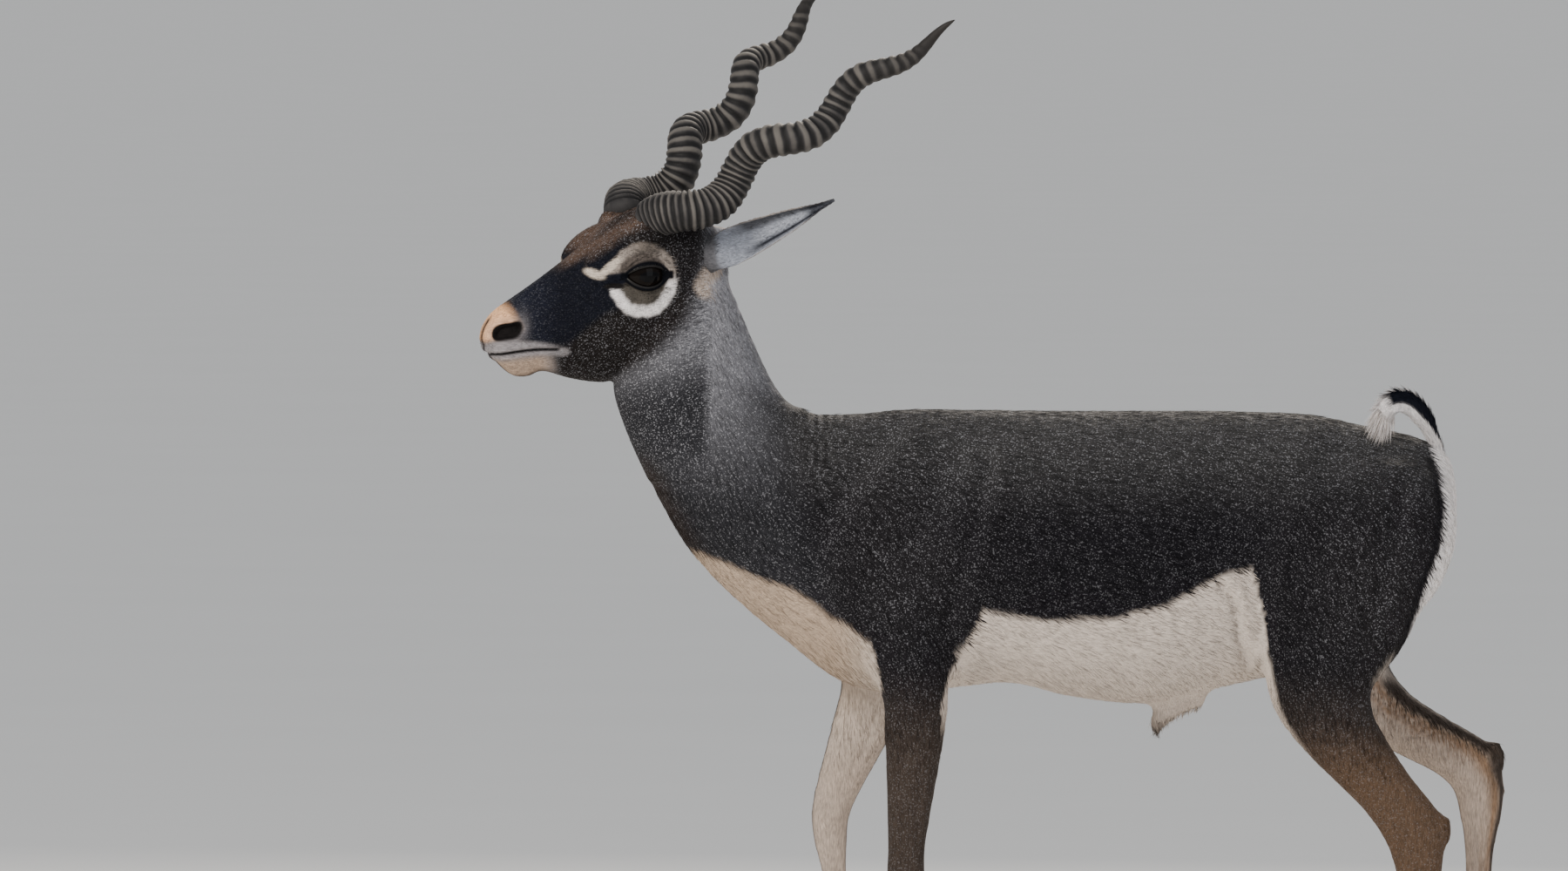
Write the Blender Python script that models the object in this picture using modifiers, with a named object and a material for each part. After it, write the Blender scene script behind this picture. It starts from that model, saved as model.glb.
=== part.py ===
"""A still, life-size male blackbuck, walking, with its head turned a little to its left.

Blender 4.5, metres, +Z up. The animal faces -X and its left side is -Y. Its hooves stand on z = 0 and
the origin lies under the middle of its bounding box. The body is one fused form, parted by thin planar
cuts into torso, neck, head and legs. Horns, ears, eyes, tail and hooves are made on their own, each
seated in the form it grows from with a narrow gap.
"""
import math
import bpy
import bmesh
import numpy as np
from mathutils import Matrix, Vector

# Driving dimensions
GAP = 0.0003
MIDLINE_Y = -0.028
BODY_VOXEL = 0.006
HEAD_VOXEL = 0.0026
BODY_TRIANGLES = 4400
HEAD_TRIANGLES = 3300
TRUNK_SOFTENING = 30
TRUNK_LEVELS = (0.44, 0.54)
TRUNK_FRONT = (-0.42, -0.30)
BODY_PASSES = 6
HEAD_PASSES = 8
WELD = 0.00002
BLOCK_REACH = 1.2
RING_POINTS = 28
ROWS_PER_SPAN = 5

# Head, measured from the tip of the nose
NOSE = Vector((-0.5345, -0.098, 0.850))
HEAD_YAW = math.radians(22.0)
HEAD_PITCH = math.radians(24.0)
HEAD_ROLL = math.radians(10.0)
EYE_PLACE = (0.1755, 0.0005, 0.0325)
EYE_RADIUS = 0.0225
LID_THICKNESS = 0.0024
EYE_SLIT_HALF_LENGTH = 0.0245
EYE_SLIT_HALF_HEIGHT = 0.0118
EYE_SLIT_TILT = math.radians(-22.0)
EYE_SLIT_DEPTH = 0.045
EYE_SLIT_STEPS = 8
NOSTRIL_PLACE = (0.0205, 0.0020)
NOSTRIL_SLANT = math.radians(-16.0)
NOSTRIL_HALF_LENGTH = 0.0165
NOSTRIL_HALF_HEIGHT = 0.0082
NOSTRIL_CURL = 0.0035
NOSTRIL_DEPTH = 0.0085
NOSTRIL_RIM_HEIGHT = 0.0012
NOSTRIL_RIM_WIDTH = (0.0035, 0.0030)
NOSTRIL_INNER_SIDE = (0.005, 0.011)
MOUTH_LEVEL = -0.0175
MOUTH_SLOPE = -0.33
MOUTH_SAG = 0.0028
MOUTH_LENGTH = 0.064
MOUTH_DEPTH = 0.0034
MOUTH_WIDTH = 0.0019
MOUTH_FADE = (-0.004, 0.004)
LIP_HEIGHT = 0.0016
LIP_PLACE = 0.0058
LIP_WIDTH = 0.0033
SEPTUM_DEPTH = 0.0012
SEPTUM_WIDTH = 0.0014
SEPTUM_BACK = (0.006, 0.012)
SEPTUM_LOW = (-0.020, -0.012)
GLAND_PLACE = (0.1400, 0.0030)
GLAND_RADII = (0.0120, 0.0040)
GLAND_SLOPE = 0.35
GLAND_DEPTH = 0.0032
GLAND_INNER_SIDE = (0.020, 0.030)
BROW_PLACE = (0.1630, 0.0240, 0.0270)
BROW_RADII = (0.0470, 0.0255, 0.0208)

# The sides of the head and the sign of each
SIDES = {"left": 1.0, "right": -1.0}

# Horns, in the head's own frame: back, up, out. The right one is a little tighter and lower.
HORN_BASE = {"left": (0.2075, 0.0485, 0.0325), "right": (0.2040, 0.0445, 0.0325)}
HORN_REACH = {"left": (0.3390, 0.1005, 0.1310), "right": (0.3457, 0.0859, 0.1243)}
HORN_BASE_RADIUS = 0.0200
HORN_HELIX_RADIUS = 0.0125
HORN_PERIOD = {"left": 0.129, "right": 0.1115}
HORN_START_PHASE = math.radians(-23.0)
HORN_RINGS = 26
RING_HEIGHT = 0.085
HORN_SIDES = 10
HORN_ROOT_DEPTH = 0.012
HORN_ROOT_DROP = 0.004
# Rings of the root: share of its depth, share of the horn's width
HORN_ROOT = ((1.0, 0.66), (0.5, 0.91))
# The pedicle under each horn, from the horn's foot: back, up, and its radius
PEDICLE_SHIFT = (-0.0120, -0.0113)
PEDICLE_RADIUS = 0.0228
HORN_SEAT_ROWS = 20
HORN_TIP_RADIUS = 0.0015
HORN_TIP_SHARE = 0.985
HORN_GROOVE = 0.955
HORN_TAPER = (0.30, 0.62)
HORN_SWELLING = (0.14, 0.16)
HORN_HELIX_TAPER = 0.25
HORN_SMOOTH_TIP = (0.82, 0.93)
SEAT_GAP = GAP * 1.3

# Claws
CLAW_FRONT = 0.030
CLAW_HEEL = -0.022
CLAW_HALF_WIDTH = 0.0092
CLAW_SPREAD = 0.0102
CLAW_TOP_FRONT = 0.006
CLAW_TOP_LEVEL = 0.0235
CLAW_TOP_SLOPE = 0.40
TOE_SINK = 0.0035
CLAW_POINTS = 16
CLAW_LEVELS = (0.0, 0.12, 0.55, 1.0)
CLAW_SOLE_INSET = (0.0015, 0.0012)
CLAW_NARROWING = 0.30
CLAW_TOP_NARROWING = 0.06

# Each spine row: top x, top z, bottom x, bottom z, half width, side offset, height of the widest
# level, roundness above, roundness below
SPINE = [
    (0.4790, 0.699, 0.479, 0.640, 0.024, 0.0, 0.5, 2.0, 2.0),
    (0.4660, 0.732, 0.460, 0.590, 0.056, 0.0, 0.5, 2.0, 2.0),
    (0.4260, 0.749, 0.415, 0.540, 0.080, 0.0, 0.5, 2.0, 2.0),
    (0.376, 0.759, 0.365, 0.515, 0.094, 0.0, 0.5, 2.0, 2.0),
    (0.322, 0.770, 0.315, 0.500, 0.101, 0.0, 0.5, 2.0, 2.1),
    (0.231, 0.773, 0.236, 0.482, 0.110, 0.0, 0.47, 2.0, 2.2),
    (0.150, 0.773, 0.155, 0.465, 0.119, 0.0, 0.46, 2.0, 2.2),
    (0.076, 0.773, 0.076, 0.472, 0.118, 0.0, 0.46, 2.0, 2.2),
    (0.013, 0.774, 0.013, 0.486, 0.111, 0.0, 0.46, 1.95, 2.1),
    (-0.042, 0.775, -0.045, 0.481, 0.101, 0.0, 0.45, 1.9, 2.0),
    (-0.092, 0.776, -0.112, 0.475, 0.093, 0.0, 0.45, 1.9, 2.0),
    (-0.133, 0.772, -0.168, 0.489, 0.088, 0.0, 0.47, 1.9, 2.0),
    (-0.165, 0.770, -0.222, 0.529, 0.082, 0.0, 0.48, 1.9, 2.0),
    (-0.190, 0.769, -0.272, 0.570, 0.076, 0.0, 0.50, 1.9, 2.0),
    (-0.212, 0.776, -0.322, 0.622, 0.070, 0.0, 0.50, 2.0, 2.0),
    (-0.231, 0.798, -0.352, 0.672, 0.064, 0.0, 0.50, 2.0, 2.1),
    (-0.247, 0.830, -0.374, 0.716, 0.057, -0.004, 0.50, 2.0, 2.1),
    (-0.263, 0.868, -0.391, 0.756, 0.052, -0.010, 0.50, 2.0, 2.1),
    (-0.281, 0.908, -0.402, 0.795, 0.0465, -0.016, 0.50, 2.0, 2.1),
    (-0.308, 0.932, -0.398, 0.835, 0.036, -0.022, 0.50, 2.0, 2.0),
]

# Each head row: distance back from the nose, top, bottom, half width, height of the widest level,
# roundness above, roundness below
HEAD_ROWS = [
    (-0.0040, 0.0030, -0.0130, 0.0090, 0.50, 2.0, 2.0),
    (0.0030, 0.0115, -0.0290, 0.0160, 0.52, 2.1, 2.0),
    (0.0100, 0.0165, -0.0440, 0.0200, 0.58, 2.2, 2.0),
    (0.0180, 0.0205, -0.0535, 0.0222, 0.60, 2.3, 1.9),
    (0.0300, 0.0238, -0.0590, 0.0240, 0.56, 2.3, 1.9),
    (0.0480, 0.0270, -0.0615, 0.0255, 0.50, 2.2, 1.9),
    (0.0750, 0.0315, -0.0830, 0.0290, 0.50, 2.2, 1.8),
    (0.1050, 0.0370, -0.1015, 0.0345, 0.54, 2.2, 1.75),
    (0.1300, 0.0415, -0.1070, 0.0405, 0.58, 2.3, 1.8),
    (0.1550, 0.0475, -0.1095, 0.0455, 0.61, 2.4, 1.9),
    (0.1800, 0.0530, -0.1085, 0.0480, 0.62, 2.4, 2.0),
    (0.2050, 0.0545, -0.1060, 0.0485, 0.60, 2.3, 2.1),
    (0.2300, 0.0510, -0.0980, 0.0470, 0.56, 2.2, 2.1),
    (0.2550, 0.0400, -0.0820, 0.0425, 0.53, 2.0, 2.0),
    (0.2780, 0.0150, -0.0480, 0.0300, 0.50, 2.0, 2.0),
]

# Each leg row: x, z, distance from the midline, half depth fore and aft, half width across.
# The rows of a leg run down to the cut above its hoof.
FORE_NEAR = [
    (-0.052, 0.742, 0.036, 0.040, 0.026),
    (-0.082, 0.690, 0.054, 0.058, 0.036),
    (-0.116, 0.630, 0.062, 0.066, 0.041),
    (-0.120, 0.572, 0.063, 0.060, 0.041),
    (-0.100, 0.528, 0.064, 0.050, 0.037),
    (-0.087, 0.482, 0.064, 0.0370, 0.030),
    (-0.088, 0.436, 0.064, 0.0325, 0.0255),
    (-0.091, 0.391, 0.063, 0.0280, 0.0220),
    (-0.0945, 0.345, 0.062, 0.0235, 0.0190),
    (-0.0965, 0.313, 0.061, 0.0208, 0.0180),
    (-0.0970, 0.287, 0.061, 0.0215, 0.0190),
    (-0.0965, 0.260, 0.061, 0.0190, 0.0165),
    (-0.0960, 0.228, 0.060, 0.0145, 0.0135),
    (-0.0955, 0.170, 0.060, 0.0126, 0.0116),
    (-0.0945, 0.118, 0.060, 0.0134, 0.0126),
    (-0.0945, 0.087, 0.060, 0.0172, 0.0168),
    (-0.1030, 0.065, 0.060, 0.0142, 0.0165),
    (-0.1160, 0.043, 0.060, 0.0152, 0.0180),
    (-0.1290, 0.022, 0.060, 0.0185, 0.0195),
    (-0.1330, 0.012, 0.060, 0.0190, 0.0195),
]
FORE_FAR = [
    (-0.052, 0.742, 0.036, 0.040, 0.026),
    (-0.084, 0.690, 0.054, 0.058, 0.036),
    (-0.122, 0.630, 0.062, 0.066, 0.041),
    (-0.132, 0.572, 0.063, 0.060, 0.041),
    (-0.126, 0.528, 0.064, 0.050, 0.037),
    (-0.129, 0.482, 0.064, 0.0370, 0.030),
    (-0.143, 0.436, 0.064, 0.0325, 0.0255),
    (-0.158, 0.398, 0.063, 0.0275, 0.0220),
    (-0.1700, 0.366, 0.062, 0.0235, 0.0190),
    (-0.1755, 0.344, 0.061, 0.0215, 0.0190),
    (-0.1745, 0.318, 0.061, 0.0190, 0.0165),
    (-0.1710, 0.284, 0.060, 0.0145, 0.0135),
    (-0.1655, 0.220, 0.060, 0.0126, 0.0116),
    (-0.1595, 0.165, 0.060, 0.0134, 0.0126),
    (-0.1570, 0.134, 0.060, 0.0172, 0.0168),
    (-0.1600, 0.104, 0.060, 0.0142, 0.0165),
    (-0.1625, 0.072, 0.060, 0.0150, 0.0180),
    (-0.1625, 0.042, 0.060, 0.0180, 0.0195),
    (-0.1610, 0.030, 0.060, 0.0180, 0.0195),
]
HIND_NEAR = [
    (0.392, 0.722, 0.040, 0.055, 0.040),
    (0.388, 0.672, 0.058, 0.0955, 0.056),
    (0.358, 0.612, 0.066, 0.1005, 0.062),
    (0.348, 0.560, 0.068, 0.0845, 0.056),
    (0.338, 0.515, 0.068, 0.0680, 0.048),
    (0.337, 0.480, 0.068, 0.0560, 0.042),
    (0.352, 0.443, 0.067, 0.0430, 0.036),
    (0.376, 0.410, 0.066, 0.0360, 0.030),
    (0.406, 0.373, 0.065, 0.0315, 0.0225),
    (0.4305, 0.338, 0.064, 0.0330, 0.0200),
    (0.4370, 0.302, 0.063, 0.0275, 0.0185),
    (0.4375, 0.266, 0.062, 0.0205, 0.0160),
    (0.4375, 0.225, 0.061, 0.0158, 0.0138),
    (0.4365, 0.160, 0.060, 0.0136, 0.0122),
    (0.4345, 0.120, 0.060, 0.0142, 0.0128),
    (0.4335, 0.090, 0.060, 0.0178, 0.0165),
    (0.4245, 0.067, 0.060, 0.0145, 0.0165),
    (0.4115, 0.044, 0.060, 0.0152, 0.0180),
    (0.3985, 0.022, 0.060, 0.0185, 0.0195),
    (0.3945, 0.012, 0.060, 0.0190, 0.0195),
]
HIND_FAR = [
    (0.392, 0.722, 0.040, 0.055, 0.040),
    (0.388, 0.672, 0.058, 0.0955, 0.056),
    (0.359, 0.612, 0.066, 0.0990, 0.062),
    (0.354, 0.565, 0.068, 0.0860, 0.056),
    (0.352, 0.523, 0.068, 0.0670, 0.048),
    (0.371, 0.485, 0.068, 0.0480, 0.042),
    (0.4060, 0.4530, 0.067, 0.0345, 0.034),
    (0.4430, 0.4300, 0.066, 0.0305, 0.027),
    (0.4720, 0.4140, 0.065, 0.0295, 0.0225),
    (0.4945, 0.3980, 0.0645, 0.0310, 0.0205),
    (0.5045, 0.3770, 0.064, 0.0285, 0.0200),
    (0.5065, 0.350, 0.063, 0.0245, 0.0185),
    (0.5055, 0.318, 0.062, 0.0182, 0.0160),
    (0.5045, 0.283, 0.061, 0.0152, 0.0138),
    (0.5020, 0.215, 0.060, 0.0136, 0.0122),
    (0.4990, 0.170, 0.060, 0.0142, 0.0128),
    (0.4970, 0.140, 0.060, 0.0178, 0.0165),
    (0.4930, 0.108, 0.060, 0.0145, 0.0165),
    (0.4900, 0.074, 0.060, 0.0150, 0.0180),
    (0.4890, 0.042, 0.060, 0.0180, 0.0195),
    (0.4900, 0.030, 0.060, 0.0180, 0.0195),
]
LEGS = {
    "fore_left": (FORE_NEAR, -1.0),
    "fore_right": (FORE_FAR, 1.0),
    "hind_left": (HIND_NEAR, -1.0),
    "hind_right": (HIND_FAR, 1.0),
}
# The point of each hock: x, z, and its radii fore and aft, across and upright
HOCKS = {"hind_left": (0.4615, 0.3370), "hind_right": (0.5215, 0.4060)}
HOCK_OFFSET = 0.064
HOCK_RADII = (0.0125, 0.0090, 0.0200)
# Each foot: x of the middle of the sole, how far the hoof is tipped onto its toe
FEET = {
    "fore_left": (-0.1360, 0.0),
    "fore_right": (-0.1450, math.radians(70.0)),
    "hind_left": (0.3915, 0.0),
    "hind_right": (0.5065, math.radians(70.0)),
}
# Where a leg is parted from the trunk: front x at the top and bottom, back x, inner side, inner
# height, outer height. Where the upper leg meets the lower leg: the level of knee or hock.
LEG_CUTS = {
    "fore_left": (-0.165, -0.140, -0.036, 0.026, 0.492, 0.560, 0.287),
    "fore_right": (-0.190, -0.260, -0.036, 0.026, 0.492, 0.560, 0.345),
    "hind_left": (0.262, 0.262, 0.60, 0.024, 0.512, 0.600, 0.320),
    "hind_right": (0.262, 0.262, 0.60, 0.024, 0.512, 0.600, 0.372),
}

LEG_BLOCK_LOW = -0.05
LEG_BLOCK_OUTER = 0.24

# Sheath rows: x, z, half depth, half width
SHEATH = [
    (0.215, 0.478, 0.016, 0.014),
    (0.190, 0.468, 0.015, 0.013),
    (0.172, 0.455, 0.0125, 0.0115),
    (0.165, 0.441, 0.0085, 0.0085),
    (0.163, 0.432, 0.0040, 0.0040),
]
SCROTUM_CENTRE = Vector((0.335, 0.0, 0.497))
SCROTUM_RADII = (0.024, 0.021, 0.032)

# Each tail row: x, z, y before the shift to the model's middle, half width, half thickness
TAIL = [
    (0.4490, 0.700, 0.000, 0.0100, 0.0090),
    (0.4580, 0.724, 0.000, 0.0110, 0.0085),
    (0.4510, 0.7495, -0.001, 0.0125, 0.0065),
    (0.4395, 0.7690, -0.006, 0.0140, 0.0050),
    (0.4255, 0.7805, -0.013, 0.0150, 0.0042),
    (0.4110, 0.7800, -0.022, 0.0140, 0.0040),
    (0.4000, 0.7700, -0.031, 0.0115, 0.0038),
]
TAIL_SEAT_ROWS = 5
TAIL_SEAT_GAP = GAP * 1.6
TAIL_TILT = math.radians(48.0)
TAIL_SIDES = 10
TAIL_ROWS_PER_SPAN = 2
TUFT_LOCKS = 7
TUFT_LENGTH = 0.034
TUFT_RUN = (-0.30, -0.42, -0.82)
TUFT_FAN = 0.42
FRINGE_LOCKS = 8
FRINGE_LENGTH = 0.013
FRINGE_FIRST_ROW = 4
LOCK_WIDTH = 0.0052
LOCK_THICKNESS = (0.0028, 0.0026)
LOCK_SHARES = (0.0, 0.35, 0.70, 0.97)
LOCK_SIDES = 5
LOCK_ROOT = 0.006

# Ears: where each starts and how far it reaches, in metres from the root
EAR_ROOT = (0.2535, -0.0125, 0.0420)
EAR_REACH = {"left": Vector((0.128, -0.052, 0.059)), "right": Vector((0.098, 0.098, -0.004))}
EAR_HALF_WIDTH = 0.0215
EAR_WALL = 0.0022
EAR_CURL = 0.010
EAR_OPENING = (-0.55, 0.35, 0.80)
# Share of the ear's length, and its half width there as a share of the widest
EAR_PROFILE = [
    (0.0, 0.80), (0.12, 0.94), (0.25, 0.90), (0.42, 0.74), (0.58, 0.58), (0.70, 0.42), (0.85, 0.20),
    (1.0, 0.08),
]
EAR_SHARES = [-0.06, 0.0, 0.06, 0.14, 0.24, 0.36, 0.50, 0.64, 0.78, 0.90, 0.985]
EAR_SEAT_ROWS = 7
EAR_ARC_POINTS = 7
EAR_DEPTH = (0.80, -0.25)
EAR_HOLLOW_SHARES = (0.03, 0.30)
EAR_SOLID_DEPTH = 0.75
EAR_THICKEST_WALL = 0.60
EAR_WALL_DEPTH = 1.15

# Where the head is parted from the neck, and the neck from the trunk: a point and a direction
NECK_CUT = ((-0.349, -0.012, 0.850), (-0.756, -0.12, 0.655))
SHOULDER_CUT = ((-0.247, 0.0, 0.672), (-0.905, 0.0, 0.425))

# The plane behind which the finely fused form of head and neck isn't needed
FRONT_OF_TRUNK = ((-0.30, 0.0, 0.72), (-0.55, 0.0, 0.83))

# Dewclaws: how far behind, beside and below the fetlock, and their radii
DEWCLAW_PLACE = (0.0150, 0.0085, -0.009)
DEWCLAW_RADII = (0.0065, 0.0055, 0.0095)
FETLOCK_ROW = -5

COLOURS = {
    "dark_coat": ((0.045, 0.037, 0.035, 1.0), 0.85),
    "neck_coat": ((0.075, 0.062, 0.055, 1.0), 0.85),
    "pale_coat": ((0.62, 0.55, 0.48, 1.0), 0.85),
    "horn": ((0.060, 0.052, 0.047, 1.0), 0.55),
    "hoof": ((0.020, 0.017, 0.015, 1.0), 0.45),
    "eye": ((0.008, 0.005, 0.004, 1.0), 0.08),
}


def clear_scene():
    """Remove the objects of the scene."""
    for item in list(bpy.data.objects):
        bpy.data.objects.remove(item, do_unlink=True)


def new_collection(name):
    """Make a collection in the scene."""
    made = bpy.data.collections.new(name)
    bpy.context.scene.collection.children.link(made)
    return made


def coat_material(name, kind):
    """A plain Principled material of one of the animal's colours."""
    colour, roughness = COLOURS[kind]
    material = bpy.data.materials.new(name)
    material.use_nodes = True
    shader = material.node_tree.nodes["Principled BSDF"]
    shader.inputs["Base Color"].default_value = colour
    shader.inputs["Roughness"].default_value = roughness
    shader.inputs["Metallic"].default_value = 0.0
    return material


def object_from(name, points, faces, collection):
    """Make an object from arrays of points and faces, with its normals pointing out."""
    mesh = bpy.data.meshes.new(name)
    mesh.from_pydata([tuple(p) for p in points], [], [tuple(f) for f in faces])
    mesh.validate()
    shape = bmesh.new()
    shape.from_mesh(mesh)
    bmesh.ops.recalc_face_normals(shape, faces=shape.faces[:])
    shape.to_mesh(mesh)
    shape.free()
    made = bpy.data.objects.new(name, mesh)
    collection.objects.link(made)
    return made


def smooth_rows(rows, per_span):
    """Carry a smooth Catmull-Rom curve through the rows of a table."""
    table = np.array(rows, dtype=float)
    ends = np.vstack([2 * table[0] - table[1], table, 2 * table[-1] - table[-2]])
    out = []
    for i in range(1, len(table)):
        before, start, end, after = ends[i - 1], ends[i], ends[i + 1], ends[i + 2]
        for k in range(per_span):
            t = k / per_span
            out.append(0.5 * (2 * start + (end - before) * t
                              + (2 * before - 5 * start + 4 * end - after) * t ** 2
                              + (3 * start - before - 3 * end + after) * t ** 3))
    out.append(table[-1])
    return np.array(out)


def superellipse(count, above, below):
    """Unit section: side and height of each point, rounder or squarer above and below its middle."""
    angle = np.linspace(0.0, 2.0 * math.pi, count, endpoint=False)
    cosine, sine = np.cos(angle), np.sin(angle)
    power = np.where(sine >= 0.0, 2.0 / above, 2.0 / below)
    side = np.sign(cosine) * np.abs(cosine) ** power
    height = np.sign(sine) * np.abs(sine) ** power
    return side, height


def tube(name, rings, collection):
    """Skin a stack of equal rings and close both ends with a fan."""
    rings = np.array(rings)
    rows, count = rings.shape[:2]
    points = rings.reshape(-1, 3).tolist()
    faces = []
    for i in range(rows - 1):
        for j in range(count):
            k = (j + 1) % count
            faces.append((i * count + j, i * count + k, (i + 1) * count + k, (i + 1) * count + j))
    for row in (0, rows - 1):
        points.append(rings[row].mean(axis=0).tolist())
        centre = len(points) - 1
        for j in range(count):
            faces.append((row * count + j, row * count + (j + 1) % count, centre))
    return object_from(name, points, faces, collection)


def head_axes():
    """Unit vectors of the head: back along the skull, up, and out to its left."""
    yaw, pitch, roll = HEAD_YAW, HEAD_PITCH, HEAD_ROLL
    back = Vector((math.cos(yaw) * math.cos(pitch), math.sin(yaw) * math.cos(pitch), math.sin(pitch)))
    up = Vector((-math.cos(yaw) * math.sin(pitch), -math.sin(yaw) * math.sin(pitch), math.cos(pitch)))
    left = Vector((math.sin(yaw), -math.cos(yaw), 0.0))
    return back, math.cos(roll) * up + math.sin(roll) * left, math.cos(roll) * left - math.sin(roll) * up


def head_turn():
    """The matrix that carries back, up and left onto the head's own axes."""
    return Matrix(head_axes()).transposed()


def head_point(back, up, left):
    """A place on the head from its distance back, up and to the left."""
    axes = head_axes()
    return NOSE + back * axes[0] + up * axes[1] + left * axes[2]


def head_coordinates(points):
    """Distance back, up and left of the nose for an array of points."""
    offset = points - np.array(NOSE)
    return [offset @ np.array(axis) for axis in head_axes()]


def spine_tube(collection):
    """Trunk and neck: each ring spans its top and bottom outline points."""
    rings = []
    for row in smooth_rows(SPINE, ROWS_PER_SPAN):
        top = np.array((row[0], row[5], row[1]))
        bottom = np.array((row[2], row[5], row[3]))
        centre = bottom + row[6] * (top - bottom)
        side, height = superellipse(RING_POINTS, row[7], row[8])
        lift = np.where(height[:, None] > 0.0, top - centre, centre - bottom)
        rings.append(centre + height[:, None] * lift + side[:, None] * np.array((0.0, row[4], 0.0)))
    return tube("spine", rings, collection)


def head_tube(collection):
    """The skull with its flesh: rings across the head's own axis."""
    back, up, left = [np.array(axis) for axis in head_axes()]
    rings = []
    for row in smooth_rows(HEAD_ROWS, ROWS_PER_SPAN):
        middle = row[2] + row[4] * (row[1] - row[2])
        side, height = superellipse(RING_POINTS, row[5], row[6])
        lift = np.where(height > 0.0, row[1] - middle, middle - row[2]) * height + middle
        place = np.array(NOSE) + row[0] * back
        rings.append(place + lift[:, None] * up + (side * row[3])[:, None] * left)
    return tube("skull", rings, collection)


def leg_tube(name, rows, side, collection):
    """A limb: rings square to its path in the plane of the leg."""
    table = smooth_rows(rows, ROWS_PER_SPAN)
    path = np.stack([table[:, 0], side * table[:, 2], table[:, 1]], axis=1)
    along = np.gradient(path, axis=0)
    along[:, 1] = 0.0
    along /= np.linalg.norm(along, axis=1)[:, None]
    across, height = superellipse(RING_POINTS, 2.1, 2.1)
    rings = []
    for row, place, run in zip(table, path, along):
        depth = np.array((-run[2], 0.0, run[0])) * row[3]
        width = np.array((0.0, 1.0, 0.0)) * row[4]
        rings.append(place + across[:, None] * width + height[:, None] * depth)
    return tube(name, rings, collection)


def ball(name, centre, radii, collection, segments=20, rings=12, turn=None):
    """An ellipsoid from a sphere primitive, turned by a matrix where one is given."""
    shape = bmesh.new()
    bmesh.ops.create_uvsphere(shape, u_segments=segments, v_segments=rings, radius=1.0)
    bmesh.ops.scale(shape, vec=Vector(radii), verts=shape.verts[:])
    if turn is not None:
        bmesh.ops.transform(shape, matrix=turn, verts=shape.verts[:])
    bmesh.ops.translate(shape, vec=Vector(centre), verts=shape.verts[:])
    mesh = bpy.data.meshes.new(name)
    shape.to_mesh(mesh)
    shape.free()
    made = bpy.data.objects.new(name, mesh)
    collection.objects.link(made)
    return made


def sheath_tube(collection):
    """The sheath under the belly."""
    rows = [(x, z, 0.0, depth, width) for x, z, depth, width in SHEATH]
    return leg_tube("sheath", rows, 1.0, collection)


def dewclaws(foot, collection):
    """Two small claws behind the fetlock."""
    rows, side = LEGS[foot]
    fetlock = rows[FETLOCK_ROW]
    behind, beside, below = DEWCLAW_PLACE
    made = []
    for hand in (-1.0, 1.0):
        centre = (fetlock[0] + behind, side * fetlock[2] + hand * beside, fetlock[1] + below)
        made.append(ball(foot + "_dewclaw", centre, DEWCLAW_RADII, collection, 10, 6))
    return made


def joined_mesh(objects, name, collection):
    """Put the meshes of several objects into one and remove them."""
    shape = bmesh.new()
    for item in objects:
        shape.from_mesh(item.data)
        bpy.data.objects.remove(item, do_unlink=True)
    mesh = bpy.data.meshes.new(name)
    shape.to_mesh(mesh)
    shape.free()
    made = bpy.data.objects.new(name, mesh)
    collection.objects.link(made)
    return made


def apply_modifiers(item):
    """Replace an object's mesh by what its modifiers make of it."""
    graph = bpy.context.evaluated_depsgraph_get()
    graph.update()
    made = bpy.data.meshes.new_from_object(item.evaluated_get(graph))
    item.modifiers.clear()
    item.data = made


def fuse(item, voxel, passes):
    """Fuse overlapping closed shapes into one skin, and soften the joins most on the trunk."""
    remesh = item.modifiers.new("Fuse", "REMESH")
    remesh.mode = "VOXEL"
    remesh.voxel_size = voxel
    apply_modifiers(item)
    trunk = item.vertex_groups.new(name="trunk")
    for point in item.data.vertices:
        x, _, z = point.co
        share = float(step(np.array(z), *TRUNK_LEVELS) * step(np.array(x), *TRUNK_FRONT))
        if share > 0.0:
            trunk.add([point.index], share, "REPLACE")
    soften = item.modifiers.new("Soften", "SMOOTH")
    soften.factor = 0.5
    soften.iterations = passes
    blend = item.modifiers.new("Blend", "SMOOTH")
    blend.factor = 0.5
    blend.iterations = TRUNK_SOFTENING
    blend.vertex_group = "trunk"
    apply_modifiers(item)
    item.vertex_groups.clear()


def thin_out(item, triangles):
    """Collapse edges down to a count of triangles, with the finest faces where the form bends most."""
    shape = bmesh.new()
    shape.from_mesh(item.data)
    bmesh.ops.triangulate(shape, faces=shape.faces[:])
    shape.to_mesh(item.data)
    count = len(shape.faces)
    shape.free()
    modifier = item.modifiers.new("Thin", "DECIMATE")
    modifier.ratio = min(1.0, triangles / count)
    modifier.use_collapse_triangulate = True
    apply_modifiers(item)


def cut(item, cutter, operation="DIFFERENCE", solver="EXACT"):
    """Apply one Boolean to an object, and remove the cutter."""
    modifier = item.modifiers.new("Cut", "BOOLEAN")
    modifier.operation = operation
    modifier.solver = solver
    modifier.object = cutter
    apply_modifiers(item)
    bpy.data.objects.remove(cutter, do_unlink=True)


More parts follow.
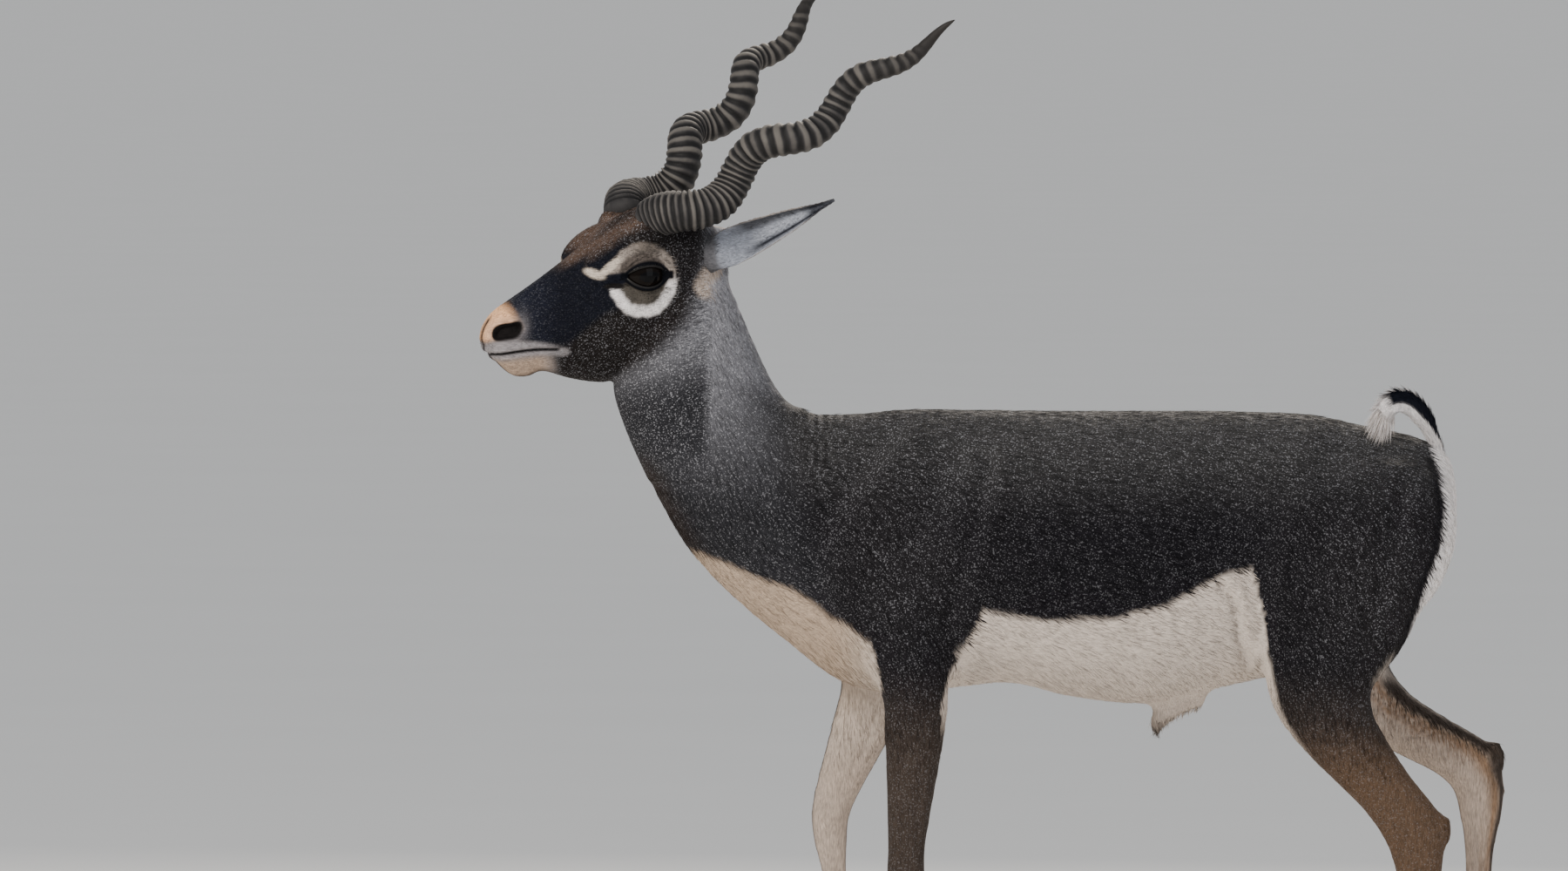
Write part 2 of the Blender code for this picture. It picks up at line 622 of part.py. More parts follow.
def keep_largest(item):
    """Keep the largest closed surface of a mesh, triangulated and without doubled points."""
    shape = bmesh.new()
    shape.from_mesh(item.data)
    bmesh.ops.remove_doubles(shape, verts=shape.verts[:], dist=WELD)
    bmesh.ops.dissolve_degenerate(shape, edges=shape.edges[:], dist=WELD)
    shape.verts.ensure_lookup_table()
    seen = set()
    groups = []
    for start in shape.verts:
        if start.index in seen:
            continue
        group = []
        queue = [start]
        seen.add(start.index)
        while queue:
            here = queue.pop()
            group.append(here)
            for edge in here.link_edges:
                other = edge.other_vert(here)
                if other.index not in seen:
                    seen.add(other.index)
                    queue.append(other)
        groups.append(group)
    groups.sort(key=len, reverse=True)
    for group in groups[1:]:
        bmesh.ops.delete(shape, geom=group, context="VERTS")
    bmesh.ops.triangulate(shape, faces=shape.faces[:])
    shape.to_mesh(item.data)
    shape.free()


def copy_of(item, name, collection):
    """A copy of an object with a mesh of its own."""
    made = bpy.data.objects.new(name, item.data.copy())
    collection.objects.link(made)
    return made


def hull(name, points, collection):
    """A convex block through the given corners."""
    shape = bmesh.new()
    for point in points:
        shape.verts.new(point)
    bmesh.ops.convex_hull(shape, input=shape.verts[:])
    bmesh.ops.recalc_face_normals(shape, faces=shape.faces[:])
    mesh = bpy.data.meshes.new(name)
    shape.to_mesh(mesh)
    shape.free()
    made = bpy.data.objects.new(name, mesh)
    made.display_type = "WIRE"
    made.hide_render = True
    collection.objects.link(made)
    return made


def half_space(name, point, normal, collection, reach=BLOCK_REACH):
    """A large block that fills the side of a plane to which its normal points."""
    normal = Vector(normal).normalized()
    turn = normal.to_track_quat("Z", "Y").to_matrix().to_4x4()
    place = Matrix.Translation(Vector(point)) @ turn
    corners = [place @ Vector((i * reach, j * reach, k))
               for i in (-1, 1) for j in (-1, 1) for k in (0, reach)]
    return hull(name, corners, collection)


def leg_block(foot, grow, collection):
    """The wedge that takes a leg out of the trunk, with a slanting top that rises outward."""
    front_top, front_low, back, inner, inner_level, outer_level, _ = LEG_CUTS[foot]
    side = LEGS[foot][1]
    corners = []
    for y, level in ((inner - grow, inner_level + grow), (LEG_BLOCK_OUTER, outer_level + grow)):
        for x, z in ((front_top - grow, level), (front_low - grow, LEG_BLOCK_LOW),
                     (back, level), (back, LEG_BLOCK_LOW)):
            corners.append((x, side * y, z))
    return hull(foot + "_block", corners, collection)


def neck_plane():
    """Where the head meets the neck: a point on the plane and its normal toward the head."""
    return Vector(NECK_CUT[0]), Vector(NECK_CUT[1]).normalized()


def shoulder_plane():
    """Where the neck meets the trunk: a point on the plane and its normal toward the neck."""
    return Vector(SHOULDER_CUT[0]), Vector(SHOULDER_CUT[1]).normalized()


def bump(distance, width):
    """A soft bell that falls to nothing over its width."""
    return np.exp(-(distance / width) ** 2)


def step(value, start, end):
    """A smooth step from 0 at start to 1 at end."""
    t = np.clip((value - start) / (end - start), 0.0, 1.0)
    return t * t * (3.0 - 2.0 * t)


def nostril_coordinates(back, up):
    """Distance along and across the nostril, whose rear end curls upward."""
    cosine, sine = math.cos(NOSTRIL_SLANT), math.sin(NOSTRIL_SLANT)
    run = (back - NOSTRIL_PLACE[0]) * cosine + (up - NOSTRIL_PLACE[1]) * sine
    rise = (up - NOSTRIL_PLACE[1]) * cosine - (back - NOSTRIL_PLACE[0]) * sine
    return run, rise - NOSTRIL_CURL * (run / NOSTRIL_HALF_LENGTH) ** 2 * np.sign(run)


def oval(across, along, radii):
    """A flat-topped oval: 1 in its middle, 0 well outside."""
    return np.exp(-((across / radii[0]) ** 4 + (along / radii[1]) ** 4))


def carve_head(item):
    """Sink the mouth, the nostrils and the tear glands, and raise the lips, brows and lids."""
    mesh = item.data
    points = np.empty(len(mesh.vertices) * 3)
    mesh.vertices.foreach_get("co", points)
    points = points.reshape(-1, 3)
    normals = np.empty(len(mesh.vertices) * 3)
    mesh.vertices.foreach_get("normal", normals)
    normals = normals.reshape(-1, 3)
    back, up, left = head_coordinates(points)
    side = np.abs(left)
    raised = np.zeros(len(points))
    level = MOUTH_LEVEL + MOUTH_SLOPE * back + MOUTH_SAG * np.sin(back / MOUTH_LENGTH * math.pi)
    in_mouth = step(MOUTH_LENGTH - back, *MOUTH_FADE)
    raised -= MOUTH_DEPTH * bump(up - level, MOUTH_WIDTH) * in_mouth
    for lip in (LIP_PLACE, -LIP_PLACE):
        raised += LIP_HEIGHT * bump(up - level - lip, LIP_WIDTH) * in_mouth
    run, rise = nostril_coordinates(back, up)
    in_nostril = oval(run, rise, (NOSTRIL_HALF_LENGTH, NOSTRIL_HALF_HEIGHT))
    on_side = step(side, *NOSTRIL_INNER_SIDE)
    raised -= NOSTRIL_DEPTH * in_nostril * on_side
    rim = oval(run, rise, (NOSTRIL_HALF_LENGTH + NOSTRIL_RIM_WIDTH[0],
                           NOSTRIL_HALF_HEIGHT + NOSTRIL_RIM_WIDTH[1]))
    raised += NOSTRIL_RIM_HEIGHT * np.clip(rim - in_nostril, 0.0, 1.0) * on_side
    in_septum = (1.0 - step(back, *SEPTUM_BACK)) * step(up, *SEPTUM_LOW)
    raised -= SEPTUM_DEPTH * bump(side, SEPTUM_WIDTH) * in_septum
    along = (back - GLAND_PLACE[0]) / GLAND_RADII[0]
    across = (up - GLAND_PLACE[1] + (back - GLAND_PLACE[0]) * GLAND_SLOPE) / GLAND_RADII[1]
    raised -= GLAND_DEPTH * np.exp(-(along ** 2 + across ** 2)) * step(side, *GLAND_INNER_SIDE)
    points += normals * raised[:, None]
    mesh.vertices.foreach_set("co", points.ravel())
    mesh.update()


def eye_centre(side):
    """Middle of an eyeball, side 1 for the left."""
    return head_point(EYE_PLACE[0], EYE_PLACE[1], side * EYE_PLACE[2])


def eye_ball(name, side, radius, collection):
    """An eyeball of flat facets, its poles lying across the head."""
    return ball(name, eye_centre(side), (radius, radius, radius), collection, 18, 12, head_turn())


def eye_slit(name, side, collection):
    """The almond between the lids, a prism that runs out across the head."""
    half, high = EYE_SLIT_HALF_LENGTH, EYE_SLIT_HALF_HEIGHT
    radius = (half ** 2 + high ** 2) / (2.0 * high)
    outline = []
    for turn in (1.0, -1.0):
        for k in range(EYE_SLIT_STEPS):
            x = half * math.cos(math.pi * k / EYE_SLIT_STEPS) * turn
            y = math.sqrt(max(radius ** 2 - x ** 2, 0.0)) - (radius - high)
            outline.append((x, turn * y))
    cosine, sine = math.cos(EYE_SLIT_TILT), math.sin(EYE_SLIT_TILT)
    corners = []
    for depth in (EYE_PLACE[2], EYE_PLACE[2] + EYE_SLIT_DEPTH):
        for x, y in outline:
            corners.append(head_point(EYE_PLACE[0] + x * cosine - y * sine,
                                      EYE_PLACE[1] + x * sine + y * cosine, side * depth))
    return hull(name, corners, collection)


def horn_axis(hand):
    """Start, reach and cross directions of a horn's straight axis."""
    back, up, left = head_axes()
    side = SIDES[hand]
    base = HORN_BASE[hand]
    start = head_point(base[0], base[1], side * base[2])
    run = HORN_REACH[hand]
    reach = run[0] * back + run[1] * up + side * run[2] * left
    along = reach.normalized()
    front = (up - up.dot(along) * along).normalized()
    out = (side * left - side * left.dot(along) * along)
    out = (out - out.dot(front) * front).normalized()
    return start, reach, front, out


def horn_centres(hand, count):
    """Centre line: a helix whose radius fades to nothing at the tip."""
    start, reach, front, out = horn_axis(hand)
    share = np.linspace(0.0, 1.0, count)
    phase = HORN_START_PHASE + 2.0 * math.pi * share * reach.length / HORN_PERIOD[hand]
    radius = HORN_HELIX_RADIUS * (1.0 - HORN_HELIX_TAPER * share) * (1.0 - share ** 6)
    circle = (radius * np.cos(phase))[:, None] * np.array(front)
    circle += (radius * np.sin(phase))[:, None] * np.array(out)
    first = circle[0]
    line = np.array(start) - first + share[:, None] * (np.array(reach) + first)
    return line + circle, share


def round_ring(centre, run, front, size):
    """A circle of the horn square to its run."""
    angle = np.linspace(0.0, 2.0 * math.pi, HORN_SIDES, endpoint=False)
    one = front - front.dot(run) * run
    one /= np.linalg.norm(one)
    two = np.cross(run, one)
    return centre + size * (np.cos(angle)[:, None] * one + np.sin(angle)[:, None] * two)


def horn_rings(hand, grow=0.0):
    """Rings square to the centre line, swollen at each ridge, after a rounded root."""
    centres, share = horn_centres(hand, HORN_RINGS * 3 + 1)
    along = np.gradient(centres, axis=0)
    along /= np.linalg.norm(along, axis=1)[:, None]
    front = np.array(horn_axis(hand)[2])
    ridge = np.where(np.arange(len(share)) % 3 == 1, 1.0, 0.0) * (1.0 - step(share, *HORN_SMOOTH_TIP))
    taper = 1.0 - HORN_TAPER[0] * share - HORN_TAPER[1] * share ** 4
    taper += HORN_SWELLING[0] * bump(share, HORN_SWELLING[1])
    radius = HORN_BASE_RADIUS * taper * (HORN_GROOVE + RING_HEIGHT * ridge)
    radius = np.where(share > HORN_TIP_SHARE, HORN_TIP_RADIUS, radius)
    drop = along[0] * HORN_ROOT_DEPTH + np.array(head_axes()[1]) * HORN_ROOT_DROP
    rings = []
    for depth, width in HORN_ROOT:
        middle = centres[0] - depth * drop - along[0] * grow
        rings.append(round_ring(middle, along[0], front, width * radius[0] + grow))
    for centre, run, size in zip(centres, along, radius + grow):
        rings.append(round_ring(centre, run, front, size))
    return np.array(rings)


def horn(hand, collection):
    """A ringed horn with its root."""
    return tube("horn_" + hand, horn_rings(hand), collection)


def horn_seat(hand, collection):
    """The socket for a horn, wider and deeper than its foot by the gap."""
    return tube("horn_seat_" + hand, horn_rings(hand, SEAT_GAP)[:HORN_SEAT_ROWS], collection)


def ear_frame(hand):
    """Start of an ear, the way it points, the way it opens and its width."""
    side = SIDES[hand]
    start = head_point(EAR_ROOT[0], EAR_ROOT[1], side * EAR_ROOT[2])
    reach = EAR_REACH[hand]
    along = reach.normalized()
    back, up, left = head_axes()
    opening = EAR_OPENING[0] * back + EAR_OPENING[1] * up + EAR_OPENING[2] * side * left
    opening = (opening - opening.dot(along) * along).normalized()
    width = along.cross(opening).normalized()
    return start, reach, along, opening, width


def ear_rings(hand, grow=0.0, root_only=False):
    """Crescent sections: full at the root, a thin curved wall beyond it."""
    start, reach, along, opening, width = [np.array(v) for v in ear_frame(hand)]
    length = np.linalg.norm(reach)
    shares = EAR_SHARES[:EAR_SEAT_ROWS] if root_only else EAR_SHARES
    places, widths = zip(*EAR_PROFILE)
    rings = []
    for share in shares:
        level = max(share, 0.0)
        half = EAR_HALF_WIDTH * float(np.interp(level, places, widths))
        depth = half * (EAR_DEPTH[0] + EAR_DEPTH[1] * level)
        hollow = 0.0 if root_only else float(step(np.array(level), *EAR_HOLLOW_SHARES))
        angle = np.linspace(0.0, math.pi, EAR_ARC_POINTS)
        outer_side, outer_deep = np.cos(angle), -np.sin(angle)
        inner_angle = np.linspace(math.pi, 0.0, EAR_ARC_POINTS)[1:-1]
        wall = min(EAR_WALL / half, EAR_THICKEST_WALL)
        shrink = 1.0 - wall * hollow
        deep = (1.0 - hollow) * EAR_SOLID_DEPTH - hollow * (1.0 - wall * EAR_WALL_DEPTH)
        inner_side, inner_deep = np.cos(inner_angle) * shrink, np.sin(inner_angle) * deep
        side = np.concatenate([outer_side, inner_side]) * (half + grow)
        bottom = np.concatenate([outer_deep, inner_deep]) * (depth + grow)
        place = start + along * (share * length - (grow if share < 0.0 else 0.0))
        curl = EAR_CURL * math.sin(math.pi * level) * opening
        rings.append(place - curl + side[:, None] * width + bottom[:, None] * opening)
    return rings


def ear(hand, collection):
    """An ear cup."""
    return tube("ear_" + hand, ear_rings(hand), collection)


def ear_seat(hand, collection):
    """The socket for an ear's root."""
    return tube("ear_seat_" + hand, ear_rings(hand, SEAT_GAP, True), collection)


def foot_frame(foot):
    """Middle of the sole, forward and up directions of a hoof."""
    x, tip = FEET[foot]
    rows, side = LEGS[foot]
    forward = Vector((-math.cos(tip), 0.0, -math.sin(tip)))
    up = Vector((-math.sin(tip), 0.0, math.cos(tip)))
    height = 0.0 if tip == 0.0 else CLAW_FRONT * math.sin(tip) - TOE_SINK
    return Vector((x, side * rows[-1][2], height)), forward, up


def claw(name, foot, hand, collection):
    """One claw: its outline is an egg with a pointed toe, short at the coronet and long at the sole."""
    origin, forward, up = foot_frame(foot)
    across = Vector((0.0, 1.0, 0.0))
    rings = []
    for share in CLAW_LEVELS:
        front = CLAW_FRONT + (CLAW_TOP_FRONT - CLAW_FRONT) * share ** 1.1
        heel = CLAW_HEEL
        if share == 0.0:
            front -= CLAW_SOLE_INSET[0]
            heel += CLAW_SOLE_INSET[1]
        middle, half = (front + heel) / 2.0, (front - heel) / 2.0
        ring = []
        for k in range(CLAW_POINTS):
            turn = 2.0 * math.pi * k / CLAW_POINTS
            run = middle + half * math.cos(turn)
            narrow = 1.0 - CLAW_NARROWING * (math.cos(turn) + 0.3) * (1.0 - 0.6 * share)
            wide = CLAW_HALF_WIDTH * (1.0 - CLAW_TOP_NARROWING * share) * math.sin(turn) * narrow
            level = share * (CLAW_TOP_LEVEL + CLAW_TOP_SLOPE * run)
            place = origin + run * forward + (hand * CLAW_SPREAD + wide) * across + level * up
            ring.append(tuple(place))
        rings.append(ring)
    made = tube(name, rings, collection)
    if FEET[foot][1] > 0.0:
        cut(made, half_space("floor_cut", (0, 0, 0), (0, 0, -1), collection))
    return made


def coronet_cut(foot, collection):
    """The block that ends a leg at the plane on top of its claws."""
    origin, forward, up = foot_frame(foot)
    slope = (up - CLAW_TOP_SLOPE * forward).normalized()
    point = origin + up * CLAW_TOP_LEVEL + slope * GAP
    return half_space("coronet", point, -slope, collection)


def tail_frames():
    """Places along the tail with its run, width and outward directions and its half sizes."""
    table = smooth_rows(TAIL, TAIL_ROWS_PER_SPAN)
    path = table[:, [0, 2, 1]]
    along = np.gradient(path, axis=0)
    along /= np.linalg.norm(along, axis=1)[:, None]
    outward = np.stack([along[:, 2], np.zeros(len(table)), -along[:, 0]], axis=1)
    outward /= np.linalg.norm(outward, axis=1)[:, None]
    tilt = (TAIL_TILT * step(np.linspace(0.0, 1.0, len(table)), 0.1, 0.5))[:, None]
    near = np.array((0.0, -1.0, 0.0))
    width = np.cos(tilt) * near - np.sin(tilt) * outward
    face = np.cos(tilt) * outward + np.sin(tilt) * near
    return path, along, width, face, table[:, 3], table[:, 4]


def tail_rings():
    """A flat ribbon that arches over the rump, tilted so that its outer face turns to the left."""
    path, _, width, face, half_width, half_thick = tail_frames()
    side, height = superellipse(TAIL_SIDES, 2.0, 2.0)
    return (path[:, None] + (half_width[:, None] * side)[:, :, None] * width[:, None]
            + (half_thick[:, None] * height)[:, :, None] * face[:, None])


def lock(start, run, droop, flat, length, width, thick, collection):
    """A flat tapered lock of hair that bends from its run toward its droop."""
    angle = np.linspace(0.0, 2.0 * math.pi, LOCK_SIDES, endpoint=False)
    rings = []
    for share in LOCK_SHARES:
        place = start + run * (length * share) + droop * (length * share ** 2 * 0.45)
        across = np.cross(run, flat)
        across /= np.linalg.norm(across)
        size = 1.0 - 0.85 * share ** 1.5
        rings.append(place + (np.cos(angle) * width * size)[:, None] * across
                     + (np.sin(angle) * thick * size)[:, None] * flat)
    return tube("lock", rings, collection)


def tail(collection):
    """The tail, with a fringe of locks along its near edge and a brush of locks at its tip."""
    made = tube("tail", tail_rings(), collection)
    path, along, width, face, half_width, _ = tail_frames()
    locks = []
    down = np.array(TUFT_RUN)
    for k in range(TUFT_LOCKS):
        fan = 2.0 * k / (TUFT_LOCKS - 1) - 1.0
        run = down + TUFT_FAN * fan * np.array((1.0, 0.3, 0.0)) + 0.35 * along[-1]
        run /= np.linalg.norm(run)
        start = path[-1] - along[-1] * LOCK_ROOT + width[-1] * (half_width[-1] * 0.62 * fan)
        length = TUFT_LENGTH * (1.0 - 0.16 * fan ** 2 - 0.05 * (k % 2))
        locks.append(lock(start, run, down * 0.4, face[-1], length, LOCK_WIDTH, LOCK_THICKNESS[0],
                          collection))
    for k in range(FRINGE_LOCKS):
        place = FRINGE_FIRST_ROW + k
        run = width[place] * 0.75 + along[place] * 0.66
        start = path[place] + width[place] * (half_width[place] - LOCK_ROOT)
        length = FRINGE_LENGTH + 0.002 * (k % 2)
        locks.append(lock(start, run, along[place] * 0.5, face[place], length, LOCK_WIDTH,
                          LOCK_THICKNESS[1], collection))
    group = new_collection("tail_locks")
    for item in locks:
        collection.objects.unlink(item)
        group.objects.link(item)
    union = made.modifiers.new("Locks", "BOOLEAN")
    union.operation = "UNION"
    union.operand_type = "COLLECTION"
    union.collection = group
    union.solver = "EXACT"
    apply_modifiers(made)
    for item in locks:
        bpy.data.objects.remove(item, do_unlink=True)
    bpy.data.collections.remove(group)
    return made


def tail_seat(collection):
    """The socket for the tail's root."""
    rings = tail_rings()[:TAIL_SEAT_ROWS]
    middle = rings.mean(axis=1, keepdims=True)
    offset = rings - middle
    size = np.linalg.norm(offset, axis=2, keepdims=True)
    rings = middle + offset * (size + TAIL_SEAT_GAP) / size
    sink = (rings[0] - rings[1]).mean(axis=0)
    rings[0] += sink / np.linalg.norm(sink) * GAP
    return tube("tail_seat", rings, collection)


def finish(item, name, kind, collection):
    """Name a finished node, give it its material and put it in the animal's collection."""
    keep_largest(item)
    item.name = name
    item.data.name = name
    item.data.materials.clear()
    item.data.materials.append(coat_material(name + "_finish", kind))
    item.data.transform(Matrix.Translation((0.0, MIDLINE_Y, 0.0)))
    for owner in list(item.users_collection):
        owner.objects.unlink(item)
    collection.objects.link(item)


def body_pieces(collection):
    """The overlapping forms of trunk, neck, head and limbs."""
    pieces = [spine_tube(collection), head_tube(collection), sheath_tube(collection)]
    for foot, (rows, side) in LEGS.items():
        pieces.append(leg_tube(foot, rows, side, collection))
        pieces.extend(dewclaws(foot, collection))
    for foot, (x, z) in HOCKS.items():
        pieces.append(ball("hock", (x, LEGS[foot][1] * HOCK_OFFSET, z), HOCK_RADII, collection))
    pieces.append(ball("scrotum", SCROTUM_CENTRE, SCROTUM_RADII, collection))
    for hand, side in SIDES.items():
        pieces.append(ball("lid", eye_centre(side), [EYE_RADIUS + LID_THICKNESS] * 3, collection))
        brow = head_point(BROW_PLACE[0], BROW_PLACE[1], side * BROW_PLACE[2])
        pieces.append(ball("brow", brow, BROW_RADII, collection, 20, 12, head_turn()))
        base = HORN_BASE[hand]
        foot = head_point(base[0] + PEDICLE_SHIFT[0], base[1] + PEDICLE_SHIFT[1], side * base[2])
        pieces.append(ball("pedicle", foot, [PEDICLE_RADIUS] * 3, collection))
    return pieces


def make_head(fused, animal, work):
    """Head node: the part of the fused form ahead of the neck plane, with its sockets."""
    head = copy_of(fused, "head", work)
    carve_head(head)
    thin_out(head, HEAD_TRIANGLES)
    point, normal = neck_plane()
    cut(head, half_space("neck_cut", point, -normal, work))
    for hand, side in SIDES.items():
        cut(head, eye_ball("socket", side, EYE_RADIUS + GAP, work))
        cut(head, eye_slit("slit", side, work))
        cut(head, horn_seat(hand, work))
        cut(head, ear_seat(hand, work))
    finish(head, "head", "dark_coat", animal)


def make_body(fused, animal, work):
    """Torso, neck and legs, parted by planar cuts."""
    point, normal = neck_plane()
    cut(fused, half_space("neck_cut", point - normal * GAP, normal, work))
    point, normal = shoulder_plane()
    neck = copy_of(fused, "neck", work)
    cut(neck, half_space("neck_keep", point, normal, work), "INTERSECT")
    trunk = copy_of(fused, "torso", work)
    cut(trunk, half_space("trunk_cut", point - normal * GAP, normal, work))
    for foot in LEGS:
        cut(trunk, leg_block(foot, GAP, work))
    cut(trunk, tail_seat(work))
    finish(neck, "neck", "neck_coat", animal)
    finish(trunk, "torso", "dark_coat", animal)
    for foot in LEGS:
        leg = copy_of(fused, foot, work)
        cut(leg, leg_block(foot, 0.0, work), "INTERSECT")
        cut(leg, coronet_cut(foot, work))
        keep_largest(leg)
        level = LEG_CUTS[foot][6]
        upper = copy_of(leg, foot + "_upper", work)
        cut(upper, half_space("joint", (0, 0, level), (0, 0, -1), work))
        lower = copy_of(leg, foot + "_lower", work)
        cut(lower, half_space("joint", (0, 0, level - GAP), (0, 0, 1), work))
        bpy.data.objects.remove(leg, do_unlink=True)
        finish(upper, "leg_" + foot + "_upper", "dark_coat", animal)
        finish(lower, "leg_" + foot + "_lower", "dark_coat", animal)
    bpy.data.objects.remove(fused, do_unlink=True)


def main():
    """Build every node of the animal."""
    clear_scene()
    animal = new_collection("blackbuck")
    work = new_collection("work")
    rough = joined_mesh(body_pieces(work), "rough", work)
    fine = copy_of(rough, "fine", work)
    fuse(rough, BODY_VOXEL, BODY_PASSES)
    thin_out(rough, BODY_TRIANGLES)
    make_body(rough, animal, work)
    front = half_space("front", *FRONT_OF_TRUNK, work)
    fuse(fine, HEAD_VOXEL, HEAD_PASSES)
    cut(fine, front, "INTERSECT", "MANIFOLD")
    make_head(fine, animal, work)
    bpy.data.objects.remove(fine, do_unlink=True)
    for hand, side in SIDES.items():
        finish(horn(hand, work), "horn_" + hand, "horn", animal)
        finish(ear(hand, work), "ear_" + hand, "pale_coat", animal)
        finish(eye_ball("eye_" + hand, side, EYE_RADIUS, work), "eye_" + hand, "eye", animal)
    finish(tail(work), "tail", "pale_coat", animal)
    for foot in LEGS:
        for hand, word in ((-1.0, "left"), (1.0, "right")):
            name = "hoof_" + foot + "_" + word
            finish(claw(name, foot, hand, work), name, "hoof", animal)
    bpy.data.collections.remove(work)


main()
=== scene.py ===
"""Looks of a still, life-size male blackbuck, walking, with its head turned a little to its left.

Laid out as an add-on and run as a script. Metres, +Z up. The animal faces -X and its left side is -Y.
One skin replaces the solids of flesh. Horns, ears, eyes, tail and hooves are pieces of their own, and
short tufts of hair lie over the skin.
"""
import math
import bpy
import bmesh
import numpy as np
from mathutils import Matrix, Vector


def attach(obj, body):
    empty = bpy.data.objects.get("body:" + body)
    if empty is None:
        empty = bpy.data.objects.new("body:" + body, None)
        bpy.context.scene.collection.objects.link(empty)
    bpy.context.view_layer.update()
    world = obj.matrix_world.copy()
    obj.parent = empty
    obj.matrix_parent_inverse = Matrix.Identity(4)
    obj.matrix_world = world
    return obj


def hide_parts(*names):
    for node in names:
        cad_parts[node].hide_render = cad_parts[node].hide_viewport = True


bl_info = {
    "name": "Blackbuck looks",
    "version": (1, 0, 0),
    "blender": (4, 5, 0),
    "location": "View3D > Sidebar > Blackbuck",
    "description": "Skin, coat, horns, eyes and stage of a life-size male blackbuck",
    "category": "Object",
}

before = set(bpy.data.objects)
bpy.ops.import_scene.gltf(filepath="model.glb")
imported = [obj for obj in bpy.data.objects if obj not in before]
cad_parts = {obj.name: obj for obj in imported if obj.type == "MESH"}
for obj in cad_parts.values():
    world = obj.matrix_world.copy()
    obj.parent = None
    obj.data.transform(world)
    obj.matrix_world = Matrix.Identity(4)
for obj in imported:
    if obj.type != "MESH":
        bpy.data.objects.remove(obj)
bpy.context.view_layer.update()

# Named values shared with the solids
MIDLINE_Y = -0.028
SHIFT = np.array((0.0, MIDLINE_Y, 0.0))
NOSE = Vector((-0.5345, -0.098, 0.85))
HEAD_YAW = math.radians(22.0)
HEAD_PITCH = math.radians(24.0)
HEAD_ROLL = math.radians(10.0)
EYE_PLACE = (0.1755, 0.0005, 0.0325)
EYE_RADIUS = 0.0225
LID_THICKNESS = 0.0024
EYE_SLIT_HALF_LENGTH = 0.0245
EYE_SLIT_HALF_HEIGHT = 0.0118
EYE_SLIT_TILT = math.radians(-22.0)
NOSTRIL_PLACE = (0.0205, 0.002)
NOSTRIL_SLANT = math.radians(-16.0)
NOSTRIL_HALF_LENGTH = 0.0165
NOSTRIL_HALF_HEIGHT = 0.0082
NOSTRIL_CURL = 0.0035
NOSTRIL_DEPTH = 0.0085
NOSTRIL_RIM_HEIGHT = 0.0012
NOSTRIL_RIM_WIDTH = (0.0035, 0.003)
MOUTH_LEVEL = -0.0175
MOUTH_SLOPE = -0.33
MOUTH_SAG = 0.0028
MOUTH_LENGTH = 0.064
GLAND_PLACE = (0.14, 0.003)
GLAND_RADII = (0.012, 0.004)
GLAND_SLOPE = 0.35
BROW_PLACE = (0.163, 0.024, 0.027)
BROW_RADII = (0.047, 0.0255, 0.0208)
SIDES = {"left": 1.0, "right": -1.0}
HORN_BASE = {"left": (0.2075, 0.0485, 0.0325), "right": (0.204, 0.0445, 0.0325)}
HORN_REACH = {"left": (0.339, 0.1005, 0.131), "right": (0.3457, 0.0859, 0.1243)}
HORN_BASE_RADIUS = 0.02
HORN_HELIX_RADIUS = 0.0125
HORN_PERIOD = {"left": 0.129, "right": 0.1115}
HORN_START_PHASE = math.radians(-23.0)
HORN_ROOT_DEPTH = 0.012
HORN_ROOT_DROP = 0.004
HORN_ROOT = ((1.0, 0.66), (0.5, 0.91))
PEDICLE_SHIFT = (-0.012, -0.0113)
PEDICLE_RADIUS = 0.0228
CLAW_FRONT = 0.03
CLAW_HEEL = -0.022
CLAW_HALF_WIDTH = 0.0092
CLAW_SPREAD = 0.0102
CLAW_TOP_LEVEL = 0.0235
CLAW_TOP_SLOPE = 0.4
TOE_SINK = 0.0035
EAR_ROOT = (0.2535, -0.0125, 0.042)
EAR_REACH = {"left": Vector((0.128, -0.052, 0.059)), "right": Vector((0.098, 0.098, -0.004))}
EAR_HALF_WIDTH = 0.0215
# Share of the ear's length, and its half width there as a share of the widest
EAR_PROFILE = ((0.0, 0.8), (0.12, 0.94), (0.25, 0.9), (0.42, 0.74), (0.58, 0.58), (0.7, 0.42),
               (0.85, 0.2), (1.0, 0.08))
TAIL_TILT = math.radians(48.0)
TUFT_LENGTH = 0.034
TUFT_RUN = (-0.3, -0.42, -0.82)

# Fineness of the skin
BODY_VOXEL = 0.0048
HEAD_VOXEL = 0.0016
BODY_PASSES = 10
TRUNK_PASSES = 46
HEAD_PASSES = 20
RING_POINTS = 36
ROWS_PER_SPAN = 6
MOST_COAT_TRIANGLES = 199000

